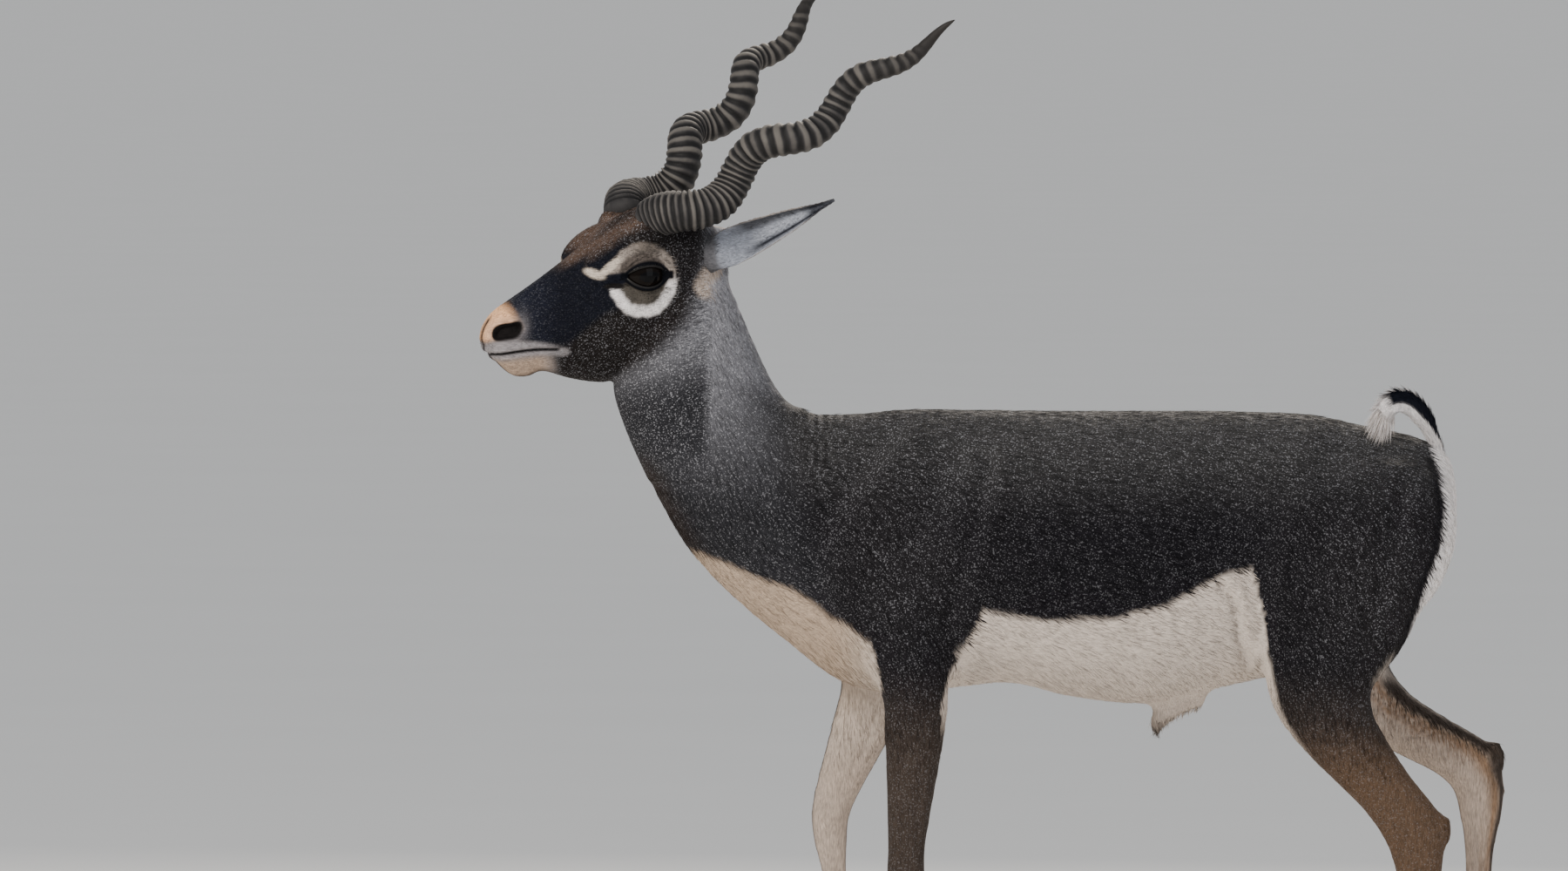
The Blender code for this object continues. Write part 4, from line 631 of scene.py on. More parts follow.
def head_markings(own, normals, look):
    """Colour and grizzle of the head, drawn on its side as it is seen square to the body."""
    back, up, left = own[:, 0], own[:, 1], np.abs(own[:, 2])
    run = back * HEAD_MATRIX[0, 0] + up * HEAD_MATRIX[1, 0] + left * HEAD_MATRIX[2, 0]
    rise = back * HEAD_MATRIX[0, 2] + up * HEAD_MATRIX[1, 2] + left * HEAD_MATRIX[2, 2]
    # Dark cheek, turning to the grey of the neck behind a slanting line
    grey = step(run - follow(CHEEK_LINE, rise), -0.014, 0.026)
    low_grey = step(rise - run * 0.2 + 0.11, 0.0, 0.1)
    colour = layers(plain(look, "cheek", len(back)), look, ("neck_low", grey), ("neck", grey * low_grey))
    grizzle = 0.32 + grey * (0.16 + 0.42 * low_grey)
    # Black mask from the nose to the eye, up to the bridge of the nose
    mask = step(rise - follow(MASK_LINE, run), -0.006, 0.006) * step(run, 0.018, 0.034) \
        * step(0.15 - run, 0.0, 0.016)
    bridge = step(up - follow(BRIDGE_LINE, back), -0.003, 0.003) * step(back, 0.085, 0.125)
    # The mask is painted lighter toward the nose, a painted sheen, and keeps more of its pale speckles there
    front = step(0.09 - run, 0.0, 0.05)
    colour = mix(colour, np.array(look["mask"]) * (0.7 + 0.65 * front[:, None]), mask)
    grizzle *= 1.0 - mask * (0.88 - 0.3 * front)
    crest = rise - follow(CREST_LINE, run)
    mottle = np.clip(0.5 + 0.6 * wobble(own, 210.0, 7), 0.0, 1.0)
    top = step(back, 0.15, 0.19)
    brown = np.maximum(0.95 * bump(crest, 0.0085) * step(run, 0.06, 0.09),
                       (0.08 + 0.34 * mottle) * (1.0 - 0.4 * top))
    colour = mix(colour, np.array(look["cheek"]) * 1.6, bridge)
    grizzle = np.maximum(grizzle, (0.35 + 0.2 * top) * bridge)
    stripe = blob(run, rise, (0.214, 0.076), (0.016, 0.046), 0.1, 0.6)
    # Tan tip of the nose with painted sunlight on its top, pale muzzle, lips and chin
    under_lips = mouth_level(back) - up
    # The top of the nose's tip is painted bright tan: the nose's own tan with painted sunlight over it
    tip = step(0.04 - back, 0.0, 0.016) * step(up, -0.006, 0.004)
    muzzle = np.maximum(blob(run, rise, (0.034, -0.013), (0.044, 0.01), -0.02, 0.6),
                        step(under_lips, -0.004, 0.004) * step(0.066 - back, 0.0, 0.022))
    chin = step(under_lips, 0.002, 0.014) * step(0.062 - back, 0.0, 0.022)
    # Where the front of the head faces down it is painted dark, over the pale chin too: painted shade under
    # the jaw
    jaw_shade = step(-normals[:, 1], 0.55, 0.85) * step(0.15 - back, 0.0, 0.05)
    corner = blob(run, rise, (0.0806, -0.015), (0.0075, 0.0045), 0.1, 0.8)
    hole = nostril_share(back, up)
    septum = bump(left, 0.003) * step(0.016 - back, 0.0, 0.006)
    lips = bump(up - mouth_level(back), 0.0016) * step(0.068 - back, 0.0, 0.006)
    colour = layers(colour, look, ("forehead", bridge * brown), ("mask", 0.15 * stripe), ("nose", tip),
                    ("muzzle", muzzle), ("chin", chin), ("jaw_shade", jaw_shade * 0.8), ("muzzle", corner * 0.7),
                    ("muzzle", nostril_share(back, up, NOSTRIL_RIM_WIDTH) * 0.8),
                    ("bare", step(hole * step(left, 0.004, 0.008), 0.3, 0.5)), ("bare", septum),
                    ("bare", lips))
    grizzle *= 1.0 - 0.8 * tip
    grizzle *= 1.0 - 0.7 * muzzle
    grizzle = grizzle * (1.0 - step(hole, 0.05, 0.2))
    # Rings round the eye, the pale comma ahead of it, the lids' edges and the gland
    eye_run = (run - 0.164) / 0.0353
    eye_rise = (rise - 0.06) / 0.0395
    distance = np.sqrt(eye_run ** 2 + eye_rise ** 2)
    around = np.arctan2(eye_rise, eye_run)
    uneven = 0.015 * np.sin(7.0 * around) + 0.012 * np.sin(19.0 * around)
    lower = step(-eye_rise, -0.3, 0.2)
    band = step(distance + uneven, 0.62 + 0.06 * (1.0 - lower), 0.78) \
        * step(1.05 - distance - uneven, 0.0, 0.12)
    patch = step(0.78 - distance, 0.0, 0.1)
    upper = band * (1.0 - lower) * (0.95 - 0.55 * bump(eye_run - 0.1, 0.45))
    comma = np.maximum(blob(run, rise, (0.114, 0.0664), (0.0115, 0.0046), -0.35, 0.6),
                       blob(run, rise, (0.13, 0.0735), (0.015, 0.0044), 0.72, 0.6))
    colour = layers(colour, look, ("upper_lid", patch), ("olive", patch * step(-eye_rise, -0.05, 0.2)),
                    ("white", band * lower), ("buff", upper),
                    ("mask", blob(run, rise, (0.1341, 0.06), (0.0175, 0.007), 0.15, 0.5)),
                    ("pale_mark", comma))
    grizzle *= 1.0 - np.maximum.reduce([band, patch, comma])
    edge_run, edge_rise = slit_coordinates(back, up)
    lid = step(0.0054 - (np.abs(edge_rise) - slit_edge(edge_run)), 0.0, 0.0022) \
        * step(EYE_SLIT_HALF_LENGTH + 0.0065 - np.abs(edge_run), 0.0, 0.003) * step(left, 0.035, 0.042)
    colour = mix(colour, np.array(look["mask"]) * 0.35, lid)
    gland = step(gland_share(back, up, 1.08), 0.35, 0.7) * step(left, 0.02, 0.03)
    return mix(colour, look["bare"], gland), grizzle


# Skin

def spine_rings():
    """Trunk and neck: each ring spans its top and bottom outline points."""
    rings = []
    for row in smooth_rows(SPINE, ROWS_PER_SPAN):
        top = np.array((row[0], row[5], row[1]))
        bottom = np.array((row[2], row[5], row[3]))
        centre = bottom + row[6] * (top - bottom)
        side, height = superellipse(RING_POINTS, row[7], row[8])
        lift = np.where(height[:, None] > 0.0, top - centre, centre - bottom)
        rings.append(centre + height[:, None] * lift + side[:, None] * np.array((0.0, row[4], 0.0)))
    return rings


def head_rings():
    """The skull with its flesh: rings across the head's own axis."""
    rings = []
    for row in smooth_rows(HEAD_ROWS, ROWS_PER_SPAN):
        middle = row[2] + row[4] * (row[1] - row[2])
        side, height = superellipse(RING_POINTS, row[5], row[6])
        lift = np.where(height > 0.0, row[1] - middle, middle - row[2]) * height + middle
        own = np.stack([np.full(RING_POINTS, row[0]), lift, side * row[3]], axis=1)
        rings.append(np.array(NOSE) + own @ HEAD_MATRIX)
    return rings


def leg_rings(rows, side):
    """A limb: rings square to its path in the plane of the leg."""
    table = smooth_rows(rows, ROWS_PER_SPAN)
    path = np.stack([table[:, 0], side * table[:, 2], table[:, 1]], axis=1)
    along = np.gradient(path, axis=0)
    along[:, 1] = 0.0
    along = unit(along)
    across, height = superellipse(RING_POINTS, 2.1, 2.1)
    depth = np.stack([-along[:, 2], np.zeros(len(along)), along[:, 0]], axis=1) * table[:, 3:4]
    width = np.array((0.0, 1.0, 0.0)) * table[:, 4:5]
    return (path[:, None] + across[None, :, None] * width[:, None] + height[None, :, None] * depth[:, None])


def ball_mesh(centre, radii, segments=40, rings=24, axes=None):
    """An ellipsoid on a grid of longitude and latitude, turned onto the given axes."""
    latitude = np.linspace(-math.pi / 2, math.pi / 2, rings + 1)[1:-1]
    longitude = np.linspace(0.0, 2.0 * math.pi, segments, endpoint=False)
    own = np.stack([np.cos(latitude)[:, None] * np.cos(longitude),
                    np.cos(latitude)[:, None] * np.sin(longitude),
                    np.repeat(np.sin(latitude)[:, None], segments, axis=1)], axis=-1) * np.array(radii)
    if axes is not None:
        own = own @ axes
    return tube_mesh(own + np.array(centre))


def flesh_parts():
    """The overlapping forms of trunk, neck, head and limbs, as in the solids."""
    parts = [tube_mesh(spine_rings()), tube_mesh(head_rings())]
    sheath = [(x, z, 0.0, depth, width) for x, z, depth, width in SHEATH]
    parts.append(tube_mesh(leg_rings(sheath, 1.0)))
    for foot, (rows, side) in LEGS.items():
        parts.append(tube_mesh(leg_rings(rows, side)))
        fetlock = rows[-5]
        for hand in (-1.0, 1.0):
            centre = (fetlock[0] + 0.015, side * fetlock[2] + hand * 0.0085, fetlock[1] - 0.009)
            parts.append(ball_mesh(centre, (0.0065, 0.0055, 0.0095), 16, 10))
    for foot, (x, z) in HOCKS.items():
        parts.append(ball_mesh((x, LEGS[foot][1] * HOCK_OFFSET, z), HOCK_RADII))
    parts.append(ball_mesh(SCROTUM_CENTRE, SCROTUM_RADII))
    for hand, side in SIDES.items():
        parts.append(ball_mesh(head_point(EYE_PLACE, side), (EYE_RADIUS + LID_THICKNESS,) * 3))
        parts.append(ball_mesh(head_point(BROW_PLACE, side), BROW_RADII, 40, 24, HEAD_MATRIX))
        back, up, left = HORN_BASE[hand]
        foot = head_point((back + PEDICLE_SHIFT[0], up + PEDICLE_SHIFT[1], left), side)
        parts.append(ball_mesh(foot, (PEDICLE_RADIUS,) * 3, 40, 24))
    return parts


def weigh(item, name, share):
    """Give a vertex group the shares as weights, in tenths."""
    group = item.vertex_groups.new(name=name)
    for level in range(1, 11):
        chosen = np.nonzero(np.round(share * 10.0) == level)[0]
        group.add(chosen.tolist(), level / 10.0, "REPLACE")


def soften(item, factor, passes, group=""):
    """Smooth an object over a number of passes, by a vertex group where one is named."""
    modifier = item.modifiers.new("Soften", "SMOOTH")
    modifier.factor = factor
    modifier.iterations = passes
    modifier.vertex_group = group


def fused(name, parts, voxel, passes, trunk_passes):
    """Fuse overlapping closed shapes into one skin, and soften the joins most on the trunk."""
    item = new_object(name, *merge(parts))
    remesh = item.modifiers.new("Fuse", "REMESH")
    remesh.mode = "VOXEL"
    remesh.voxel_size = voxel
    apply_modifiers(item)
    soften(item, 0.5, passes)
    if trunk_passes:
        points = points_of(item.data)
        weigh(item, "trunk", step(points[:, 2], 0.44, 0.54) * step(points[:, 0], -0.42, -0.3))
        soften(item, 0.5, trunk_passes, "trunk")
    apply_modifiers(item)
    item.vertex_groups.clear()
    return item


def refine(mesh, chosen, cuts):
    """Divide the edges whose ends are both chosen."""
    shape = bmesh.new()
    shape.from_mesh(mesh)
    edges = np.empty(len(mesh.edges) * 2, dtype=int)
    mesh.edges.foreach_get("vertices", edges)
    inside = chosen[edges.reshape(-1, 2)].all(axis=1)
    shape.edges.ensure_lookup_table()
    picked = [shape.edges[i] for i in np.nonzero(inside)[0].tolist()]
    bmesh.ops.subdivide_edges(shape, edges=picked, cuts=cuts, use_grid_fill=True)
    bmesh.ops.triangulate(shape, faces=[f for f in shape.faces if len(f.verts) > 4])
    shape.to_mesh(mesh)
    shape.free()


def crease(x, z, line, width):
    """A soft valley along a line drawn on the side of the body: 1 on the line."""
    distance = np.full(len(x), 1.0)
    for (ax, az), (bx, bz) in zip(line[:-1], line[1:]):
        length = (bx - ax) ** 2 + (bz - az) ** 2
        t = np.clip(((x - ax) * (bx - ax) + (z - az) * (bz - az)) / length, 0.0, 1.0)
        distance = np.minimum(distance, np.hypot(x - ax - t * (bx - ax), z - az - t * (bz - az)))
    return bump(distance, width)


# Muscles raised (+) and valleys sunk (-) along lines on the side of the body: height, width, line
SHOULDER_LINES = (
    (0.003, 0.03, ((-0.06, 0.745), (-0.15, 0.61))),
    (-0.003, 0.012, ((-0.01, 0.72), (-0.028, 0.64), (-0.048, 0.56), (-0.046, 0.515))),
    (-0.0022, 0.014, ((-0.115, 0.745), (-0.19, 0.64), (-0.185, 0.585))),
    (0.002, 0.02, ((-0.06, 0.64), (-0.085, 0.56))),
)
STIFLE_FOLD = ((0.231, 0.593), (0.2455, 0.573), (0.249, 0.536), (0.263, 0.49))
HAUNCH_LINES = (
    (0.003, 0.01, ((0.243, 0.602), (0.262, 0.56), (0.272, 0.5))),
    (-0.0026, 0.012, ((0.42, 0.69), (0.405, 0.6), (0.378, 0.52), (0.372, 0.47))),
    (0.0024, 0.026, ((0.32, 0.7), (0.3, 0.62), (0.305, 0.56))),
)
CHEEK_LINES = (
    (0.0016, 0.006, ((0.085, -0.018), (0.15, -0.026), (0.205, -0.02))),
    (-0.0014, 0.008, ((0.075, -0.034), (0.118, -0.05), (0.135, -0.07))),
)
# Height of the knee or hock of each leg
JOINT_LEVEL = {"fore_left": 0.287, "fore_right": 0.344, "hind_left": 0.335, "hind_right": 0.385}


def model_body(points, normals):
    """Height added along the normals of the body: muscles, tendons and folds of skin."""
    x, y, z = points.T
    side_on = step(np.abs(normals[:, 1]), 0.35, 0.75)
    near = step(-y, 0.0, 0.02)
    raised = np.zeros(len(points))
    # Shoulder: blade, point, the muscle behind it and the valley between neck and shoulder
    for height, width, line in SHOULDER_LINES:
        raised += height * crease(x, z, line, width) * side_on
    # Folds where the neck leaves the trunk
    fold_band = bump(x + 0.178 + (z - 0.72) * 0.25, 0.024) * step(z, 0.665, 0.715)
    fold_band *= step(0.785 - z, 0.0, 0.02)
    fold_run = x + 0.3 * (z - 0.7) + 0.0022 * np.sin(z * 160.0)
    raised += 0.0011 * np.sin(fold_run * 2.0 * math.pi / 0.0105) * fold_band
    raised += 0.003 * bump(x + 0.205, 0.01) * step(z, 0.762, 0.775)
    # Ribs, very faint, the flank hollow, the haunch and its muscles
    ribs = step(x, -0.01, 0.04) * step(0.235 - x, 0.0, 0.05) * step(z, 0.52, 0.57) * step(0.7 - z, 0.0, 0.05)
    raised += 0.00022 * np.sin((x + 0.35 * (z - 0.6)) * 2.0 * math.pi / 0.026) * ribs * side_on
    raised -= 0.005 * bump(x - 0.245, 0.03) * bump(z - 0.675, 0.045) * side_on
    raised -= 0.0036 * crease(x, z, STIFLE_FOLD, 0.005) * near * side_on
    for height, width, line in HAUNCH_LINES:
        raised += height * crease(x, z, line, width) * side_on
    raised += 0.0022 * bump(x - 0.325, 0.018) * bump(z - 0.742, 0.014)
    return raised


def model_legs(points, normals):
    """Height added along the normals of the legs: tendons, knees, hocks and pasterns."""
    x, y, z = points.T
    raised = np.zeros(len(points))
    sides = step(np.abs(normals[:, 1]), 0.6, 0.95)
    for foot, (rows, side) in LEGS.items():
        fore_or_hind = step(0.1 - x, 0.0, 0.02) if foot.startswith("fore") else step(x, 0.25, 0.27)
        here = step(side * y, 0.01, 0.03) * fore_or_hind
        middle, joint = leg_centres(z, rows), JOINT_LEVEL[foot]
        low = here * step(joint - 0.02 - z, 0.0, 0.03) * step(z, 0.03, 0.1)
        raised -= 0.0013 * low * sides * bump(x - middle - 0.0035, 0.003)
        above = here * step(z - joint - 0.02, 0.0, 0.03) * step(joint + 0.13 - z, 0.0, 0.03)
        raised -= 0.0016 * above * sides * bump(x - middle - 0.01, 0.0045)
        raised += 0.0012 * here * bump(z - joint, 0.012) * sides
    return raised


def model_head(own):
    """Height added along the normals of the head: lips, nostrils, glands, brows and folds."""
    back, up, left = own.T
    side = np.abs(left)
    raised = np.zeros(len(own))
    level = mouth_level(back)
    in_mouth = step(0.068 - back, 0.0, 0.008)
    raised -= 0.0036 * bump(up - level, 0.0013) * in_mouth
    raised += 0.0016 * bump(up - level - 0.0052, 0.0032) * in_mouth
    raised += 0.0014 * bump(up - level + 0.0055, 0.0034) * in_mouth
    in_nostril = nostril_share(back, up)
    on_side = step(side, 0.005, 0.011)
    raised -= NOSTRIL_DEPTH * step(in_nostril, 0.25, 0.75) * on_side
    rim = nostril_share(back, up, NOSTRIL_RIM_WIDTH)
    raised += NOSTRIL_RIM_HEIGHT * np.clip(rim - in_nostril, 0.0, 1.0) * on_side
    raised -= 0.0014 * bump(side, 0.0012) * step(0.012 - back, 0.0, 0.006) * step(up, -0.02, -0.012)
    raised -= 0.0034 * gland_share(back, up) * step(side, 0.02, 0.03)
    # Cheek bone under the eye, the jaw muscle and the hollow between them
    on_cheek = step(side, 0.018, 0.03)
    for height, width, line in CHEEK_LINES:
        raised += height * crease(back, up, line, width) * on_cheek
    raised += 0.0018 * bump(back - 0.172, 0.03) * bump(up + 0.07, 0.024) * on_cheek
    # Folds round the lids
    slit_run, slit_rise = slit_coordinates(back, up)
    gap = np.abs(slit_rise) - slit_edge(slit_run)
    lidded = step(side, 0.03, 0.04) * step(EYE_SLIT_HALF_LENGTH + 0.012 - np.abs(slit_run), 0.0, 0.01)
    raised += 0.0009 * bump(gap - 0.002, 0.0016) * lidded
    raised -= 0.0011 * bump(gap - 0.0062, 0.0014) * lidded
    raised += 0.0007 * bump(gap - 0.0092, 0.0018) * lidded * step(slit_rise, -0.002, 0.002)
    return raised


def open_lids(own, points):
    """Push the skin between the lids in behind the eyeball."""
    run, rise = slit_coordinates(own[:, 0], own[:, 1])
    inside = step(slit_edge(run) - np.abs(rise), -0.0004, 0.0006) * (np.abs(run) < EYE_SLIT_HALF_LENGTH)
    for side in SIDES.values():
        centre = head_point(EYE_PLACE, side)
        offset = points - centre
        distance = np.linalg.norm(offset, axis=1)
        here = inside * (side * own[:, 2] > EYE_PLACE[2]) * (distance < EYE_RADIUS + 0.008)
        sunk = centre + offset / distance[:, None] * (EYE_RADIUS - 0.003)
        points = points + (sunk - points) * here[:, None]
    return points


def make_skin(settings, look, material):
    """One closed skin from nose to hooves, finest on the head."""
    parts = flesh_parts()
    item = fused("skin", parts, BODY_VOXEL, BODY_PASSES, TRUNK_PASSES)
    back, up, left = head_coordinates(points_of(item.data)).T
    on_head = (back < 0.285) & (back > -0.02) & (np.abs(left) < 0.08) & (up > -0.13)
    refine(item.data, on_head & (points_of(item.data)[:, 0] < -0.27), 2)
    back, up, left = head_coordinates(points_of(item.data)).T
    eye = (np.hypot(back - EYE_PLACE[0], up - EYE_PLACE[1]) < 0.036) & (np.abs(left) > 0.028)
    muzzle = (back < 0.072) & (back > -0.02) & (np.abs(left) < 0.06) & (np.abs(up) < 0.08)
    refine(item.data, eye | muzzle, 1)
    # Lay the head onto a finer fusing of the same forms
    coarser, fewer = ((1.0, 1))
    fine = fused("fine", parts, HEAD_VOXEL * coarser, HEAD_PASSES // fewer, 0)
    points = points_of(item.data)
    back = head_coordinates(points)[:, 0]
    share = step(0.268 - back, 0.0, 0.03) * (back > -0.03) * step(-0.27 - points[:, 0], 0.0, 0.04) \
        * (points[:, 2] > 0.7)
    weigh(item, "head", share)
    wrap = item.modifiers.new("Wrap", "SHRINKWRAP")
    wrap.target = fine
    wrap.vertex_group = "head"
    soften(item, 0.4, 3, "head")
    apply_modifiers(item)
    item.vertex_groups.clear()
    bpy.data.objects.remove(fine, do_unlink=True)
    # Coat's depth, then muscles, folds and features
    mesh = item.data
    points, normals = points_of(mesh), points_of(mesh, "normal")
    raised = (1.0 - share) * (model_body(points, normals) + model_legs(points, normals))
    raised += share * model_head(head_coordinates(points))
    points = points + normals * (raised - settings.coat_depth * (1.0 - 0.6 * share))[:, None]
    points = open_lids(head_coordinates(points), points)
    set_points(mesh, points)
    colour, grizzle = markings(points, points_of(mesh, "normal"), look)
    paint(mesh, "coat_colour", colour)
    paint(mesh, "grizzle", grizzle)
    paint(mesh, "upright", upright(points))
    set_points(mesh, points + SHIFT)
    mesh.shade_smooth()
    nodes = ["torso", "neck", "head"] + [f"leg_{foot}_{part}" for foot in LEGS for part in ("upper", "lower")]
    return settle(item, "skin", material, nodes)


# Lie of the coat

def upright(points):
    """How far the coat runs up and down rather than fore and aft: 1 on legs and neck."""
    x, _, z = points.T
    legs = step(0.56 - z, 0.0, 0.1)
    neck = step(-0.2 - x, 0.0, 0.05) * step(z, 0.6, 0.66)
    return np.maximum(legs, neck * (1.0 - step(-0.36 - x, 0.0, 0.05)))


def lie(points, normals):
    """Direction in which the hair lies at each point, along the surface."""
    x, y, z = points.T
    flow = np.tile(np.array((0.93, 0.0, -0.36)), (len(points), 1))
    quarter = np.maximum(bump(x + 0.1, 0.07), bump(x - 0.37, 0.1)) * step(0.74 - z, 0.0, 0.1)
    flow = mix(flow, (0.45, 0.0, -0.89), quarter)
    flow = mix(flow, (0.1, 0.0, -1.0), step(0.55 - z, 0.0, 0.1))
    neck = step(-0.18 - x, 0.0, 0.06) * step(z, 0.58, 0.66)
    flow = mix(flow, (0.5, 0.0, -0.87), neck)
    own = head_coordinates(points)
    head = step(0.255 - own[:, 0], 0.0, 0.03) * step(z, 0.7, 0.74) * step(-0.3 - x, 0.0, 0.01)
    along = np.array((1.0, -0.25, 0.0)) @ HEAD_MATRIX
    flow = mix(flow, along, head)
    flow[:, 1] += 0.1 * wobble(points, 45.0, 11)
    flow[:, 2] += 0.08 * wobble(points, 60.0, 12)
    flow -= (flow * normals).sum(axis=1, keepdims=True) * normals
    return unit(flow)


def tuft_mesh(roots, normals, runs, length, width, thick, lift, bend):
    """Closed three-sided blades: a base, a middle section and a tip for each root.

    Point (s, k) = root + run * length * s + normal * length * (lift * s + bend * s squared)
    + the corner k of a flat triangle that narrows toward the tip.
    """
    side = unit(np.cross(normals, runs))
    corners = ((-0.5, 0.0), (0.5, 0.0), (0.0, 1.0))
    points = []
    for share, size in ((0.0, 0.75), (0.45, 1.0)):
        centre = roots + runs * (length * share)[:, None] \
            + normals * (length * (lift * share + bend * share ** 2))[:, None]
        for across, high in corners:
            points.append(centre + side * (width * size * across)[:, None]
                          + normals * (thick * size * high)[:, None])
    points.append(roots + runs * length[:, None] + normals * (length * (lift + bend))[:, None])
    points = np.stack(points, axis=1)
    pattern = np.array([(2, 1, 0), (0, 1, 4), (0, 4, 3), (1, 2, 5), (1, 5, 4), (2, 0, 3), (2, 3, 5),
                        (3, 4, 6), (4, 5, 6), (5, 3, 6)])
    faces = (np.arange(len(roots)) * 7)[:, None, None] + pattern[None]
    return points.reshape(-1, 3), faces.reshape(-1, 3)


def coat_object(name, points, faces, per_tuft, uv_roots, colours, material):
    """A coat piece, with a small patch of the OFBake map for each tuft at its root's place."""
    mesh = bpy.data.meshes.new(name)
    mesh.vertices.add(len(points))
    mesh.vertices.foreach_set("co", points.astype(np.float32).ravel())
    mesh.loops.add(faces.size)
    mesh.loops.foreach_set("vertex_index", faces.astype(np.int32).ravel())
    mesh.polygons.add(len(faces))
    mesh.polygons.foreach_set("loop_start", np.arange(0, faces.size, 3, dtype=np.int32))
    mesh.update(calc_edges=True)
    mesh.shade_smooth()
    patch = 0.0015
    spots = np.array([(-1.0, -1.0), (1.0, -1.0), (0.0, -0.6), (-0.8, 0.1), (0.8, 0.1), (0.0, 0.3),
                      (0.0, 1.0)])
    if per_tuft != 7:
        spots = np.stack([np.tile((-1.0, 0.0, 1.0), per_tuft // 3 + 1)[:per_tuft],
                          np.linspace(-1.0, 1.0, per_tuft)], axis=1)
    own = (uv_roots[:, None] + spots[None] * patch).reshape(-1, 2)
    layer = mesh.uv_layers.new(name="OFBake")
    layer.data.foreach_set("uv", own[faces.ravel()].astype(np.float32).ravel())
    paint(mesh, "coat_colour", colours)
    made = bpy.data.objects.new(name, mesh)
    bpy.context.scene.collection.objects.link(made)
    return settle(made, name, material, [])


def triangles_of(mesh):
    """Corner numbers of the triangles of a mesh."""
    mesh.calc_loop_triangles()
    flat = np.empty(len(mesh.loop_triangles) * 3, dtype=np.int64)
    mesh.loop_triangles.foreach_get("vertices", flat)
    return flat.reshape(-1, 3)


def scatter(mesh, density, seed):
    """Places on a mesh with their normals, spread by density: points for each square metre."""
    rng = np.random.default_rng(seed)
    points, normals = points_of(mesh), points_of(mesh, "normal")
    corners = triangles_of(mesh)
    a, b, c = points[corners[:, 0]], points[corners[:, 1]], points[corners[:, 2]]
    area = np.linalg.norm(np.cross(b - a, c - a), axis=1) / 2.0
    expected = area * density((a + b + c) / 3.0)
    count = np.floor(expected + rng.random(len(expected))).astype(int)
    chosen = np.repeat(np.arange(len(corners)), count)
    first, second = rng.random(len(chosen)), rng.random(len(chosen))
    flip = first + second > 1.0
    first, second = np.where(flip, 1.0 - first, first), np.where(flip, 1.0 - second, second)
    weights = np.stack([1.0 - first - second, first, second], axis=1)
    place = (points[corners[chosen]] * weights[:, :, None]).sum(axis=1)
    normal = unit((normals[corners[chosen]] * weights[:, :, None]).sum(axis=1))
    return place, normal, rng


def bare_places(points):
    """1 where hair grows, 0 on lids, in nostrils, on lips and on the glands."""
    own = head_coordinates(points)
    back, up, side = own[:, 0], own[:, 1], np.abs(own[:, 2])
    run, rise = slit_coordinates(back, up)
    near_eye = (np.abs(rise) - slit_edge(run) < 0.0045) & (np.abs(run) < EYE_SLIT_HALF_LENGTH + 0.006)
    near_eye &= side > 0.028
    near_nose = nostril_share(back, up, (0.001, 0.001)) > 0.15
    near_lips = (np.abs(up - mouth_level(back)) < 0.0022) & (back < 0.066)
    horn = np.hypot(back - HORN_BASE["left"][0], side - HORN_BASE["left"][2]) < 0.016
    horn &= up > 0.04
    on_head = (back < 0.26) & (back > -0.02) & (points[:, 0] < -0.3) & (points[:, 2] > 0.7)
    return np.where(on_head & (near_eye | (near_nose & (back < 0.05)) | near_lips | horn), 0.0, 1.0)


def region_of(points):
    """Which coat piece each root belongs to."""
    x, y, z = points.T
    own = head_coordinates(points)
    names = np.where(y < 0.0, "coat_trunk_left", "coat_trunk_right").astype(object)
    names = names + np.where(x < 0.1, "_front", "_rear").astype(object)
    belly = (z < 0.56) & (x > -0.1) & (x < 0.3)
    names[belly] = "coat_belly"
    for foot, (rows, side) in LEGS.items():
        low = np.array(rows)
        here = (side * y > 0.005) & (z < 0.6)
        half = np.interp(z, low[::-1, 1], low[::-1, 3]) + 0.02
        here &= np.abs(x - leg_centres(z, rows)) < half
        names[here & ((z < 0.47) | (np.abs(y) > 0.075))] = "coat_leg_" + foot
    neck = (x < -0.2) & (z > 0.6)
    names[neck] = "coat_neck"
    head = (own[:, 0] < 0.262) & (x < -0.3) & (z > 0.7)
    names[head & (own[:, 2] >= 0.0)] = "coat_head_left"
    names[head & (own[:, 2] < 0.0)] = "coat_head_right"
    return names


def unwrap(points, name):
    """Place of each root on an unwrap of its region: along the form, and round it."""
    x, y, z = points.T
    if name.startswith("coat_head"):
        own = head_coordinates(points)
        along, round_ = own[:, 0] / 0.28, np.arctan2(own[:, 2], own[:, 1] + 0.03)
    elif name == "coat_neck":
        along = (z - 0.55) / 0.42 + (x + 0.3) * 0.6
        round_ = np.arctan2(y + 0.008, x + 0.3 + (z - 0.75) * 0.25)
    elif name.startswith("coat_leg"):
        rows, side = LEGS[name[len("coat_leg_"):]]
        along = z / 0.62
        round_ = np.arctan2(side * y - 0.061, x - leg_centres(z, rows))
    else:
        along = (x + 0.35) / 0.85
        round_ = np.arctan2(y, z - 0.62)
    along = np.clip(along, 0.0, 1.0)
    return np.stack([0.02 + 0.96 * along, 0.5 + 0.48 * round_ / math.pi], axis=1)


def head_share(points):
    """1 on the head and 0 behind it."""
    back = head_coordinates(points)[:, 0]
    return step(0.262 - back, 0.0, 0.02) * (points[:, 0] < -0.3) * (points[:, 2] > 0.7)


